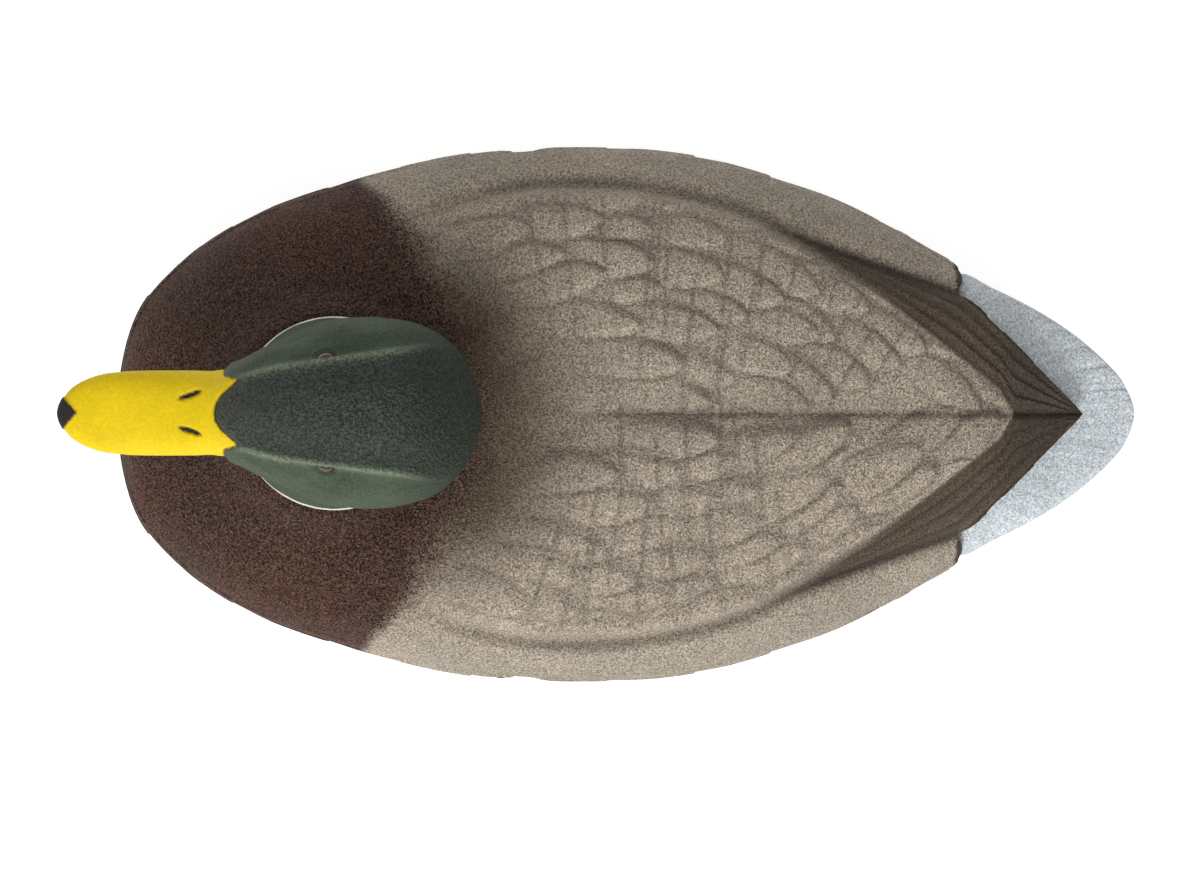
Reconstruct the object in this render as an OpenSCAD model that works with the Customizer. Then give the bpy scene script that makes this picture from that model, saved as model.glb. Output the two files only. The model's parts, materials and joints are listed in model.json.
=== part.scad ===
// Spinning-wing mallard drake decoy, stake mounted, shown with its clip-on wings taken off.
// Frame: origin on the belly face at the stake socket's axis, bill towards -Y, left side towards +X, +Z up.

/* [Body] */
// Half width of the body at its widest station
body_half_width = 101.2; // [95:0.1:105]
// Thickness of the moulded shell walls
wall = 3; // [2.4:0.1:3.6]
// Height of the seam between the two shells
seam_z = 56; // [55:0.5:57]
// Thickness of the gasket in the seam
gasket_t = 1; // [0.6:0.1:1.4]

/* [Head] */
// Distance of the neck axis in front of the stake socket
neck_y = -96; // [-98:0.5:-92]
// Height of the flat neck joint
neck_z = 114; // [113:0.5:116]
// Radius of the bore that the head's spigot turns in
neck_bore_r = 24; // [22:0.5:26]

/* [Wing drive] */
// Distance of the wing shaft in front of the stake socket
shaft_y = -30; // [-31:0.5:-29]
// Radius of the wing shaft
shaft_r = 3; // [2.5:0.1:3.5]
// Radius of the wing hub
hub_r = 11; // [9:0.5:12]
// Distance from the centre plane to each hub's outer face
hub_face_x = 98; // [96:0.5:98.5]
// Radius of the socket that takes a wing's root peg
wing_socket_r = 4.1; // [3.6:0.1:4.6]
// Gear module
gear_module = 1; // [0.9:0.05:1.05]
// Teeth on the wing shaft's gear
gear_teeth = 48; // [48:2:50]
// Teeth on the motor's pinion
pinion_teeth = 16; // [16:1:17]

/* [Stake socket] */
// Radius of the stake bore
stake_r = 6.5; // [6:0.1:7]
// Depth of the stake bore above the belly's inner face
stake_depth = 60; // [45:1:60]

/* [Battery] */
// Battery width, across the body
battery_w = 101; // [90:1:101]
// Battery length, along the body
battery_l = 47; // [40:1:47]
// Battery height
battery_h = 70; // [60:1:72]

/* [Hidden] */
$fn = 48;

run_gap = 0.05;          // radial running clearance of a turning fit
back_rim_z = seam_z + gasket_t / 2;
belly_rim_z = seam_z - gasket_t / 2;
arc_steps = 24;          // spans round each half section
span_steps = 3;          // rings between two stations
top_power = 2.3;         // superellipse power of the back's sections
belly_power = 3;         // and of the belly's, which is boxier
w = body_half_width;

// Stations along the body, breast to transom: [y, half width, top height]
back_stations = [
    [-182.6, 0, back_rim_z], [-177, 0.33 * w, 80], [-163, 0.531 * w, 93], [-135.5, 0.722 * w, 104.5],
    [-98.9, 0.861 * w, 111], [-53.3, 0.97 * w, 112.5], [-7.6, w, 112], [38.1, 0.962 * w, 109.5],
    [83.7, 0.825 * w, 104.5], [111.1, 0.698 * w, 100], [137, 0.55 * w, 94.5]
];
// Stations of the belly, breast to stern: [y, half width, keel height before the flat base cuts it]
belly_stations = [
    [-182.6, 0, belly_rim_z], [-177, 0.33 * w, 33], [-163, 0.531 * w, 15], [-135.5, 0.722 * w, 2],
    [-98.9, 0.861 * w, -5], [-53.3, 0.97 * w, -6], [-7.6, w, -6], [38.1, 0.962 * w, -6],
    [83.7, 0.825 * w, -5.5], [111.1, 0.698 * w, 3], [137, 0.53 * w, 22], [150, 0.37 * w, 38],
    [158, 0, belly_rim_z]
];
// Stations of the tail fan: [y, half width, crown height, edge height, underside height]
tail_stations = [
    [137.4, 54, 86, 60, back_rim_z], [147.6, 49.9, 83, 65, back_rim_z], [158.5, 44.4, 81.2, 68.5, back_rim_z],
    [171, 37.2, 79.6, 72, 63], [184.2, 27.8, 79.5, 75, 71.5], [196, 15.5, 80.5, 78, 76.3],
    [202.4, 2.7, 81, 80, 79]
];
// Stations of the crossed wing tips over the tail: [y, half width of the arc, top height, half width cut]
tip_stations = [
    [135.7, 55.8, 94, 43], [150, 48.8, 91.2, 29.3], [165, 41, 88.2, 14.9], [179, 34, 85.6, 1.4]
];
tip_t = 2.2;             // thickness of the wing tips
shell_mid_y = -8;        // the inner surface is the outer one drawn in towards this station
shell_half_length = 174;
nose_r = 2.5;            // the end rings stay this wide and high, so the ends don't close to a line

// Wing drive
shaft_z = seam_z;
hub_inner_x = 77.5;
pocket_r = 15;
pocket_floor_x = 76;
pocket_floor_t = 6;
gear_x = 16;
gear_face = 8;
gear_r = gear_module * gear_teeth / 2;
pinion_r = gear_module * pinion_teeth / 2;
mesh_tilt = 30;          // the motor sits this far below the shaft's level, seen from the side
motor_y = shaft_y - (gear_r + pinion_r) * cos(mesh_tilt);
motor_z = shaft_z - (gear_r + pinion_r) * sin(mesh_tilt);
frame_x = [8, 34];       // inner corners of the frame's two upright plates
frame_t = 2;
frame_base_z = 12;
frame_screw_xy = [[14, -72], [30, -72], [14, -20], [30, -20]];

// Battery bay and door, on the belly behind the stake socket
battery_y = 49.5;
battery_z = 5;           // underside of the battery
battery_size = [battery_w, battery_l, battery_h];
terminal_x = 34;
door_half_x = 55.5;
door_front_y = 21.5;
door_rear_y = 88;
door_t = 3;
door_seal_t = 1;
ledge_z = 7;             // top of the frame round the battery bay's opening
bay_half_x = 51.5;
bay_y = [24.9, 75.2];
latch_notch = [[-6, 74], [13.5, 84]];
hinge_y = 18.6;
hinge_z = 2.6;
hinge_pin_r = 1.2;
hinge_pin_x = [20, 49.5];
latch_y = 79;

// Control well on the belly, in front of the motor
well_y = [-116, -84];
well_half_x = 32;
panel_z = 7;
panel_t = 3;
switch_x = -14;
jack_x = 14;
panel_y = (well_y[0] + well_y[1]) / 2;
rocker_z = 9;
rocker_rest_tilt = 8;
cap_hinge = [24, 5.6];

neck_screw_ring = neck_bore_r - 5;
magnet_r = 3.7;
magnet_x = 86;           // the magnet's inner face; the root peg's socket starts 2 mm further out
socket_x = magnet_x + 2;
hub_pin_x = 82;
trunnion_r = 1.1;        // pivots of the switch's rocker
shell_screw_xy = [[60, -112], [78, 30], [44, 112]];
tail_screw_x = 22;
tail_screw_z = 72;
board_origin = [-66, -72, 14];
board_size = [50, 40, 1.6];
eye_centre = [16.4, -95, 162];
eye_r = 4.6;
eye_wall_x = 19.5;       // flat bottom of the flared recess round each eye

// ---------- curves and lofts ----------

// Point t of the way from b to c on a Catmull-Rom curve through a, b, c, d
function curve_point(a, b, c, d, t) =
    0.5 * (2 * b + (c - a) * t + (2 * a - 5 * b + 4 * c - d) * t * t + (3 * b - a - 3 * c + d) * t * t * t);

// The stand-in before a list's first entry or after its last one
function past_end(p, q) = 2 * p - q;

// The same, for a station where the body closes to a round nose: its neighbour's mirror image
function mirrored(p, q) = [for (i = [0:len(p) - 1]) i == 0 ? q[0] : 2 * p[i] - q[i]];

// Smooth list of stations, with steps spans between each two
function smooth(s, steps, round_first = false, round_last = false) = let(
    n = len(s) - 1,
    first = round_first ? mirrored(s[0], s[1]) : past_end(s[0], s[1]),
    last = round_last ? mirrored(s[n], s[n - 1]) : past_end(s[n], s[n - 1]),
    p = concat([first], s, [last])
) concat(
    [for (i = [0:n - 1]) for (j = [0:steps - 1]) curve_point(p[i], p[i + 1], p[i + 2], p[i + 3], j / steps)],
    [s[n]]
);

// Half of a superellipse from +x to -x: half width a, height h, above z0 (h < 0 goes down)
function half_section(a, h, z0, power, y) = [
    for (i = [0:arc_steps]) let(
        t = 180 * i / arc_steps,
        c = cos(t),
        x = a * sign(c) * pow(abs(c), 2 / power),
        z = z0 + h * pow(sin(t), 2 / power)
    ) [x, y, z]
];

// Height of a superellipse of unit size at u of the way out
function superellipse(u, power) = pow(max(0, 1 - pow(u, power)), 1 / power);

// Draws a point in by t at the widest, longest and deepest places of a shell whose rim is at z0
function inward(p, t, z0) = [
    p[0] * (w - t) / w,
    shell_mid_y + (p[1] - shell_mid_y) * (shell_half_length - t) / shell_half_length,
    z0 + (p[2] - z0) * (seam_z - t) / seam_z
];

// Faces of a shell from rings of outer and inner half sections, closed at both ends and along both rims
function shell_faces(rings, n) = let(
    size = 2 * n,
    last = rings - 1
) concat(
    [for (k = [0:last - 1]) for (i = [0:n - 2]) let(a = k * size + i) [a, a + 1, a + size + 1, a + size]],
    [for (k = [0:last - 1]) for (i = [0:n - 2]) let(a = k * size + n + i) [a, a + size, a + size + 1, a + 1]],
    [for (k = [0:last - 1]) let(a = k * size) [a, a + size, a + size + n, a + n]],
    [for (k = [0:last - 1]) let(a = k * size + n - 1) [a, a + n, a + size + n, a + size]],
    [[for (i = [n - 1:-1:0]) i], [for (i = [0:n - 1]) n + i], [0, n, 2 * n - 1, n - 1]],
    [[for (i = [0:n - 1]) last * size + i], [for (i = [n - 1:-1:0]) last * size + n + i]],
    [[last * size, last * size + n - 1, last * size + 2 * n - 1, last * size + n]]
);

// A body shell. side is 1 for the back and -1 for the belly, whose faces turn the other way round.
module body_shell(outer, inner, side) {
    n = arc_steps + 1;
    points = [for (k = [0:len(outer) - 1]) each concat(outer[k], inner[k])];
    faces = shell_faces(len(outer), n);
    turned = [for (f = faces) [for (i = [len(f) - 1:-1:0]) f[i]]];
    polyhedron(points, side > 0 ? faces : turned, convexity = 6);
}

// A solid lofted through closed rings of n points each
module loft(rings) {
    n = len(rings[0]);
    last = len(rings) - 1;
    points = [for (r = rings) each r];
    faces = concat(
        [[for (i = [n - 1:-1:0]) i]],
        [for (k = [0:last - 1]) for (i = [0:n - 1]) let(j = (i + 1) % n)
            [k * n + i, k * n + j, k * n + n + j, k * n + n + i]],
        [[for (i = [0:n - 1]) last * n + i]]
    );
    polyhedron(points, faces, convexity = 6);
}

back_rings = [
    for (s = smooth(back_stations, span_steps, round_first = true))
        [s[0], max(s[1], nose_r), max(s[2], back_rim_z + nose_r)]
];
belly_rings = [
    for (s = smooth(belly_stations, span_steps, round_first = true, round_last = true))
        [s[0], max(s[1], nose_r), min(s[2], belly_rim_z - nose_r)]
];
back_outer = [for (s = back_rings) half_section(s[1], s[2] - back_rim_z, back_rim_z, top_power, s[0])];
belly_outer = [
    for (s = belly_rings) [
        for (p = half_section(s[1], s[2] - belly_rim_z, belly_rim_z, belly_power, s[0]))
            [p[0], p[1], max(0, p[2])]
    ]
];

// A body's sections, moved in by t all round
function drawn_in(rings, t, z0) = [for (ring = rings) [for (p = ring) inward(p, t, z0)]];

// The same sections, run through the other way round, for a loft that hangs down
function turned_rings(rings) = [for (ring = rings) [for (i = [len(ring) - 1:-1:0]) ring[i]]];

// Height of the belly's outer surface at a place
function belly_z(x, y) = let(
    half = lookup(y, [for (s = belly_rings) [s[0], s[1]]]),
    depth = belly_rim_z - lookup(y, [for (s = belly_rings) [s[0], s[2]]])
) max(0, belly_rim_z - depth * superellipse(abs(x) / half, belly_power));

// A round wire along a smooth curve through points
module wire(path, r = 1.1) {
    sides = 8;
    p = smooth(path, 5);
    last = len(p) - 1;
    rings = [
        for (k = [0:last]) let(
            d = p[min(k + 1, last)] - p[max(k - 1, 0)],
            f = d / norm(d),
            side_raw = abs(f[2]) > 0.9 ? cross(f, [1, 0, 0]) : cross(f, [0, 0, 1]),
            s = side_raw / norm(side_raw),
            u = cross(s, f)
        ) [for (i = [0:sides - 1]) p[k] + r * (cos(-360 * i / sides) * s + sin(-360 * i / sides) * u)]
    ];
    loft(rings);
}

// Cylinder along +X from x0 to x1
module rod_x(x0, x1, r, y, z) {
    translate([x0, y, z]) rotate([0, 90, 0]) cylinder(h = x1 - x0, r = r);
}

// Puts a child on both sides of the centre plane
module both_sides() {
    children();
    mirror([1, 0, 0]) children();
}

// Box from one corner to the other
module box(low, high) {
    translate(low) cube(high - low);
}

// ---------- body ----------

// Round cups that hold the shaft's bushes and leave room for the hubs
module wing_cups() {
    both_sides() rod_x(pocket_floor_x - pocket_floor_t, w + 1, pocket_r + 3, shaft_y, shaft_z);
}

module wing_pockets() {
    both_sides() {
        rod_x(pocket_floor_x, 110, pocket_r, shaft_y, shaft_z);
        rod_x(pocket_floor_x - pocket_floor_t - 1, pocket_floor_x + 1, shaft_r + 3, shaft_y, shaft_z);
    }
}

// Puts a child that points up on both tail screws' axes, pointing to the rear from y
module tail_screw_places(y) {
    both_sides() translate([tail_screw_x, y, tail_screw_z]) rotate([-90, 0, 0]) children();
}

module wing_tips() {
    rings = [
        for (s = smooth(tip_stations, span_steps)) let(
            steps = 12,
            top = [for (i = [0:steps]) let(x = s[3] * (1 - 2 * i / steps))
                [x, s[0], back_rim_z + (s[2] - back_rim_z) * superellipse(abs(x) / s[1], top_power)]],
            under = [for (i = [steps:-1:0]) top[i] - [0, 0, tip_t]]
        ) concat(top, under)
    ];
    loft(rings);
}

module back_shell() {
    color("#948672") difference() {
        union() {
            body_shell(back_outer, drawn_in(back_outer, wall, back_rim_z), 1);
            wing_tips();
            intersection() {
                loft(drawn_in(back_outer, wall / 2, back_rim_z));
                union() {
                    wing_cups();
                    for (s = shell_screw_xy) both_sides()
                        translate([s[0], s[1], seam_z]) cylinder(h = 60, r = 5);
                }
            }
            translate([0, neck_y, neck_z - 14]) cylinder(h = 14, r1 = 42, r2 = 36);
        }
        wing_pockets();
        translate([0, neck_y, neck_z - 20]) cylinder(h = 30, r = neck_bore_r);
        for (s = shell_screw_xy) both_sides()
            translate([s[0], s[1], back_rim_z - 1]) cylinder(h = 24, r = 1.85);
        tail_screw_places(130) cylinder(h = 10, r = 2.2);
    }
}

// Door-shaped outline: square front corners, round rear ones, grown by g on each side
function door_outline(half_x, y0, y1, r_front, r_rear) = let(
    x_front = half_x - r_front,
    x_rear = half_x - r_rear
) concat(
    [for (a = [90:-22.5:0]) [x_front + r_front * sin(a), y0 + r_front - r_front * cos(a)]],
    [for (a = [0:22.5:90]) [-x_front - r_front * sin(a), y0 + r_front - r_front * cos(a)]],
    [for (a = [0:11.25:90]) [-x_rear - r_rear * cos(a), y1 - r_rear + r_rear * sin(a)]],
    [for (a = [0:11.25:90]) [x_rear + r_rear * sin(a), y1 - r_rear + r_rear * cos(a)]]
);

module board_screw_places() {
    for (x = [4, 46], y = [4, 36]) translate([board_origin[0] + x, board_origin[1] + y, 0]) children();
}

module door_prism(grow, z0, z1, front = door_front_y) {
    translate([0, 0, z0]) linear_extrude(z1 - z0)
        polygon(door_outline(door_half_x + grow, front - grow, door_rear_y + grow, 2, 16 + grow));
}

module belly_shell() {
    color("#7d7365") difference() {
        union() {
            body_shell(belly_outer, drawn_in(belly_outer, wall, belly_rim_z), -1);
            intersection() {
                loft(turned_rings(drawn_in(belly_outer, wall / 2, belly_rim_z)));
                union() {
                    wing_cups();
                    for (s = shell_screw_xy) both_sides()
                        translate([s[0], s[1], 0]) cylinder(h = seam_z, r = 5.5);
                }
            }
            door_prism(3, 2, ledge_z, 19);
            both_sides() box([18, 13.6, 2], [52, 24, 7.2]);
            box([-well_half_x - 3, well_y[0] - 3, 2], [well_half_x + 3, well_y[1] + 3, panel_z + panel_t]);
            for (s = frame_screw_xy) translate([s[0], s[1], 2]) cylinder(h = frame_base_z - 2, r = 4);
            board_screw_places() translate([0, 0, 2]) cylinder(h = board_origin[2] - 2, r = 3);
        }
        wing_pockets();
        translate([0, 0, -1]) cylinder(h = 6, r = stake_r + 1);
        socket_screw_places() cylinder(h = 8, r = 1.75);
        socket_screw_places() translate([0, 0, -0.01]) cylinder(h = 2.02, r1 = 3.4, r2 = 1.75);
        door_prism(0.5, -1, door_t + door_seal_t, 19.2);
        box([-bay_half_x, bay_y[0], -1], [bay_half_x, bay_y[1], 12]);
        box([latch_notch[0][0], latch_notch[0][1], -1], [latch_notch[1][0], latch_notch[1][1], 12]);
        both_sides() box([26, 15.1, -1], [44, 21, 5.6]);
        both_sides() rod_x(hinge_pin_x[0], hinge_pin_x[1], hinge_pin_r, hinge_y, hinge_z);
        box([-well_half_x, well_y[0], -1], [well_half_x, well_y[1], panel_z]);
        box([switch_x - 10.7, panel_y - 7.7, 0], [switch_x + 10.7, panel_y + 7.7, 20]);
        translate([jack_x, panel_y, 0]) cylinder(h = 20, r = 6);
        for (s = frame_screw_xy) translate([s[0], s[1], 4]) cylinder(h = 20, r = 1.45);
        board_screw_places() translate([0, 0, 6]) cylinder(h = 20, r = 1.05);
        for (s = shell_screw_xy) both_sides() translate([s[0], s[1], 0]) {
            cylinder(h = 80, r = 2.1);
            translate([0, 0, -1]) cylinder(h = belly_z(s[0], s[1]) + 7, r = 3.8);
        }
    }
    hinge_supports();
}

// Round knuckles on the belly that carry the ends of the hinge pins
module hinge_supports() {
    spans = [[hinge_pin_x[0] - 0.5, 26], [44, hinge_pin_x[1] + 0.5]];
    color("#7d7365") both_sides() for (x = spans) difference() {
        rod_x(x[0], x[1], 2.5, hinge_y, hinge_z);
        rod_x(hinge_pin_x[0], hinge_pin_x[1], hinge_pin_r, hinge_y, hinge_z);
    }
}

module tail_fan() {
    rings = [
        for (s = smooth(tail_stations, span_steps, false, false)) let(
            steps = 20,
            top = [for (i = [0:steps]) let(c = cos(180 * i / steps), q = sin(180 * i / steps))
                [s[1] * sign(c) * pow(abs(c), 0.87), s[0], s[3] + (s[2] - s[3]) * pow(q, 0.87)]],
            depth = s[3] - max(s[4], back_rim_z),
            under = [for (i = [1:steps - 1]) let(c = cos(180 * i / steps), q = sin(180 * i / steps))
                [-s[1] * sign(c) * pow(abs(c), 0.55), s[0], s[3] - depth * pow(q, 0.55)]]
        ) concat(top, under)
    ];
    color("#b7bdc2") difference() {
        loft(rings);
        tail_screw_places(137) cylinder(h = 14, r = 1.75);
    }
}

module seam_gasket() {
    outline = concat(
        [for (s = belly_rings) [s[1], s[0]]],
        [for (i = [len(belly_rings) - 1:-1:0]) [-belly_rings[i][1], belly_rings[i][0]]]
    );
    function shrunk(g) = [for (p = outline) let(q = inward([p[0], p[1], 0], g, 0)) [q[0], q[1]]];
    color("#2a2a2a") difference() {
        translate([0, 0, belly_rim_z]) linear_extrude(gasket_t) difference() {
            polygon(shrunk(0.4));
            polygon(shrunk(wall - 0.2));
        }
        both_sides() rod_x(60, 110, pocket_r + 3.2, shaft_y, shaft_z);
    }
}

// ---------- head ----------

module ellipsoid(centre, radii) {
    translate(centre) scale(radii) sphere(r = 1, $fn = 32);
}

module cranium(inset) {
    i = [inset, inset, inset];
    hull() {
        ellipsoid([0, -77, 147], [33.5, 35, 31] - i);
        ellipsoid([0, -112, 145], [22, 25, 21] - i);
    }
}

// Neck, spigot, cranium and bill in one piece, hollow inside
module head_form() {
    difference() {
        union() {
            translate([0, neck_y, 0]) rotate_extrude($fn = 64)
                polygon([[0, neck_z + 0.2], [34.8, neck_z + 0.2], [34, 124], [29, 134], [26, 142], [0, 142]]);
            translate([0, neck_y, neck_z - 15.6]) cylinder(h = 20, r = neck_bore_r - run_gap);
            cranium(0);
            hull() {
                ellipsoid([0, -128, 145], [14, 12, 11]);
                ellipsoid([0, -177, 131], [15.3, 14.6, 5]);
            }
        }
        cranium(3);
        translate([0, neck_y, neck_z - 20]) cylinder(h = 40, r = 14);
    }
}

module neck_screw_places() {
    for (a = [90, 210, 330])
        translate([0, neck_y, 0]) rotate(a) translate([neck_screw_ring, 0, 0]) children();
}

module head() {
    color("#2f4a35") difference() {
        union() {
            head_form();
            intersection() {
                cranium(1);
                both_sides() translate(eye_centre) sphere(r = eye_r + 3);
            }
        }
        both_sides() translate([eye_centre[0] - eye_r - run_gap, eye_centre[1], eye_centre[2]])
            rotate([0, 90, 0]) cylinder(h = eye_wall_x - eye_centre[0] + eye_r + 1, r = eye_r + run_gap);
        both_sides() translate([eye_wall_x, eye_centre[1], eye_centre[2]])
            rotate([0, 90, 0]) cylinder(h = 14, r1 = eye_r + 0.6, r2 = 11);
        neck_screw_places() translate([0, 0, neck_z - 17]) cylinder(h = 13, r = 1.65);
    }
}

module eyes() {
    color("#20140c") both_sides() translate(eye_centre) sphere(r = eye_r);
}

module neck_washer() {
    color("#303030") translate([0, neck_y, neck_z - 15.6]) difference() {
        cylinder(h = 1.5, r = 30);
        translate([0, 0, -1]) cylinder(h = 4, r = neck_bore_r + run_gap);
    }
}

module neck_retainer() {
    color("#3a3a3a") translate([0, neck_y, neck_z - 19.7]) difference() {
        cylinder(h = 4, r = 29);
        translate([0, 0, -1]) cylinder(h = 6, r = 13);
        for (a = [90, 210, 330]) rotate(a) translate([neck_screw_ring, 0, -1]) cylinder(h = 6, r = 1.7);
    }
}

module neck_screws() {
    color("#b8bcc0") neck_screw_places() translate([0, 0, neck_z - 21.8]) {
        cylinder(h = 2.05, r = 3.2);
        cylinder(h = 15, r = 1.6);
    }
}

// ---------- wing drive ----------

module wing_shaft() {
    color("#c4c8cc") difference() {
        rod_x(-magnet_x, magnet_x, shaft_r, shaft_y, shaft_z);
        both_sides() translate([hub_pin_x, shaft_y, shaft_z - 10]) cylinder(h = 20, r = 1);
    }
}

module shaft_bushes() {
    floor_x = pocket_floor_x - pocket_floor_t;
    color("#c9a24a") both_sides() difference() {
        union() {
            rod_x(floor_x, pocket_floor_x, shaft_r + 2.95, shaft_y, shaft_z);
            rod_x(floor_x - 1.5, floor_x, shaft_r + 5.5, shaft_y, shaft_z);
        }
        rod_x(floor_x - 3, pocket_floor_x + 1, shaft_r + run_gap, shaft_y, shaft_z);
    }
}

module shaft_seals() {
    color("#1c1c1c") both_sides() difference() {
        rod_x(pocket_floor_x, pocket_floor_x + 1.2, shaft_r + 4.5, shaft_y, shaft_z);
        rod_x(pocket_floor_x - 1, pocket_floor_x + 2, shaft_r + run_gap, shaft_y, shaft_z);
    }
}

// Quick-release hub: shaft bore inside, magnet behind a blind socket outside, two drive dogs on the face
module wing_hub() {
    difference() {
        union() {
            rod_x(hub_inner_x, hub_face_x - 3, hub_r - 2, shaft_y, shaft_z);
            rod_x(hub_face_x - 5, hub_face_x, hub_r, shaft_y, shaft_z);
            for (s = [-1, 1]) box([hub_face_x - 1, shaft_y + s * 7.6 - 1.4, shaft_z - 2],
                [hub_face_x + 2.2, shaft_y + s * 7.6 + 1.4, shaft_z + 2]);
        }
        rod_x(hub_inner_x - 1, magnet_x, shaft_r, shaft_y, shaft_z);
        rod_x(magnet_x, socket_x, magnet_r, shaft_y, shaft_z);
        rod_x(socket_x, hub_face_x + 4, wing_socket_r, shaft_y, shaft_z);
        translate([hub_pin_x, shaft_y, shaft_z - 20]) cylinder(h = 40, r = 1);
    }
}

module left_wing_hub() {
    color("#26282b") wing_hub();
}

module right_wing_hub() {
    color("#26282b") mirror([1, 0, 0]) wing_hub();
}

module hub_magnets() {
    color("#d0d2d6") both_sides() rod_x(magnet_x, socket_x, magnet_r, shaft_y, shaft_z);
}

module hub_pins() {
    color("#9a9ea3") both_sides() translate([hub_pin_x, shaft_y, shaft_z - 8.9]) cylinder(h = 17.8, r = 1);
}

module shaft_collars() {
    color("#8f9499") for (x = [2.6, 36.4]) difference() {
        rod_x(x, x + 5, shaft_r + 3, shaft_y, shaft_z);
        rod_x(x - 1, x + 6, shaft_r, shaft_y, shaft_z);
    }
}

// Point of an involute of a circle of radius rb, unwound by t degrees
function involute(rb, t) = rb * [cos(t) + t * PI / 180 * sin(t), sin(t) - t * PI / 180 * cos(t)];

function turned(p, a) = [p[0] * cos(a) - p[1] * sin(a), p[0] * sin(a) + p[1] * cos(a)];

// Unwinding angle at which an involute reaches radius r
function unwind(rb, r) = sqrt(max(0, pow(r / rb, 2) - 1)) * 180 / PI;

// Outline of an involute spur gear with a tooth centred on +x. play is the backlash taken off each tooth.
function gear_outline(m, teeth, play = 0.12) = let(
    rp = m * teeth / 2,
    rb = rp * cos(20),
    tip = rp + 0.92 * m,
    root = rp - 1.25 * m,
    at_pitch = involute(rb, unwind(rb, rp)),
    offset_a = atan2(at_pitch[1], at_pitch[0]) + 90 / teeth - play / rp * 90 / PI,
    flank = [for (i = [0:4]) let(r = max(rb, root) + (tip - max(rb, root)) * i / 4)
        turned(involute(rb, unwind(rb, r)), -offset_a)],
    foot = root * flank[0] / norm(flank[0])
) [
    for (k = [0:teeth - 1]) each [
        turned(foot, 360 * k / teeth),
        for (p = flank) turned(p, 360 * k / teeth),
        for (i = [4:-1:0]) turned([flank[i][0], -flank[i][1]], 360 * k / teeth),
        turned([foot[0], -foot[1]], 360 * k / teeth)
    ]
];

// Places a gear drawn in XY onto an axis along +X, its first tooth at angle a above -Y
module gear_place(x, y, z, a) {
    translate([x, y, z]) rotate([0, 90, 0]) rotate(a) children();
}

// Angle, in a gear's own plane after gear_place, that points from the shaft to the motor
mesh_angle = atan2(motor_y - shaft_y, -(motor_z - shaft_z));

module drive_gear() {
    color("#e6e2d6") difference() {
        union() {
            gear_place(gear_x, shaft_y, shaft_z, mesh_angle) difference() {
                linear_extrude(gear_face) polygon(gear_outline(gear_module, gear_teeth));
                for (a = [0:60:300]) rotate(a) translate([14.5, 0, -1]) cylinder(h = gear_face + 2, r = 4);
            }
            rod_x(gear_x - 3, gear_x + gear_face + 5, 7, shaft_y, shaft_z);
        }
        rod_x(gear_x - 5, gear_x + 20, shaft_r, shaft_y, shaft_z);
    }
}

module motor_pinion() {
    color("#c9a24a") difference() {
        gear_place(gear_x - 0.5, motor_y, motor_z, mesh_angle + 180 + 180 / pinion_teeth)
            linear_extrude(gear_face + 1) polygon(gear_outline(gear_module, pinion_teeth));
        rod_x(gear_x - 5, gear_x + 20, 1, motor_y, motor_z);
    }
}

module motor_shaft() {
    color("#c4c8cc") rod_x(-6, gear_x + gear_face + 2, 1, motor_y, motor_z);
}

module motor() {
    front = frame_x[0];
    color("#a8acb0") difference() {
        union() {
            rod_x(front - 31, front, 12.2, motor_y, motor_z);
            rod_x(front - 35, front - 31, 9, motor_y, motor_z);
            rod_x(front, front + 1.6, 3.4, motor_y, motor_z);
            for (s = [-1, 1]) box([front - 39, motor_y + s * 6 - 1.2, motor_z - 0.3],
                [front - 34.5, motor_y + s * 6 + 1.2, motor_z + 0.3]);
        }
        rod_x(front - 15, front + 3, 1 + run_gap, motor_y, motor_z);
        for (s = [-1, 1]) rod_x(front - 5, front + 1, 1.3, motor_y, motor_z + s * 8);
    }
}

module drive_frame() {
    y0 = -76;
    y1 = -15;
    color("#9aa0a6") difference() {
        union() {
            box([frame_x[0], y0, frame_base_z], [frame_x[1] + frame_t, y1, frame_base_z + frame_t]);
            for (x = frame_x) box([x, y0 + 4, frame_base_z], [x + frame_t, y1 - 1, 68]);
        }
        for (s = frame_screw_xy) translate([s[0], s[1], frame_base_z - 1]) cylinder(h = 5, r = 1.7);
        rod_x(0, 50, shaft_r + 2, shaft_y, shaft_z);
        rod_x(0, frame_x[0] + 5, 3.6, motor_y, motor_z);
        for (s = [-1, 1]) rod_x(0, frame_x[0] + 5, 1.4, motor_y, motor_z + s * 8);
    }
}

module frame_bushes() {
    color("#c9a24a") for (x = frame_x) difference() {
        rod_x(x - 0.3, x + frame_t + 0.3, shaft_r + 2, shaft_y, shaft_z);
        rod_x(x - 1, x + frame_t + 1, shaft_r + run_gap, shaft_y, shaft_z);
    }
}

// Pan-head screw pointing down, its head's underside at the origin
module screw_down(length, r, head_r) {
    translate([0, 0, -length]) cylinder(h = length + 0.1, r = r);
    cylinder(h = 2, r = head_r);
}

module frame_screws() {
    color("#b8bcc0") for (s = frame_screw_xy)
        translate([s[0], s[1], frame_base_z + frame_t]) screw_down(9, 1.4, 3);
}

module motor_screws() {
    color("#b8bcc0") for (s = [-1, 1]) translate([frame_x[0] + frame_t, motor_y, motor_z + s * 8])
        rotate([0, 90, 0]) screw_down(6.5, 1.25, 2.2);
}

// ---------- power ----------

module battery() {
    top = battery_z + battery_h;
    color("#5c6066") difference() {
        translate([-battery_w / 2, battery_y - battery_l / 2, battery_z]) cube(battery_size);
        for (x = [-terminal_x, terminal_x])
            box([x - 6, battery_y - 6, top - 3], [x + 6, battery_y + 6, top + 1]);
    }
}

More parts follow.
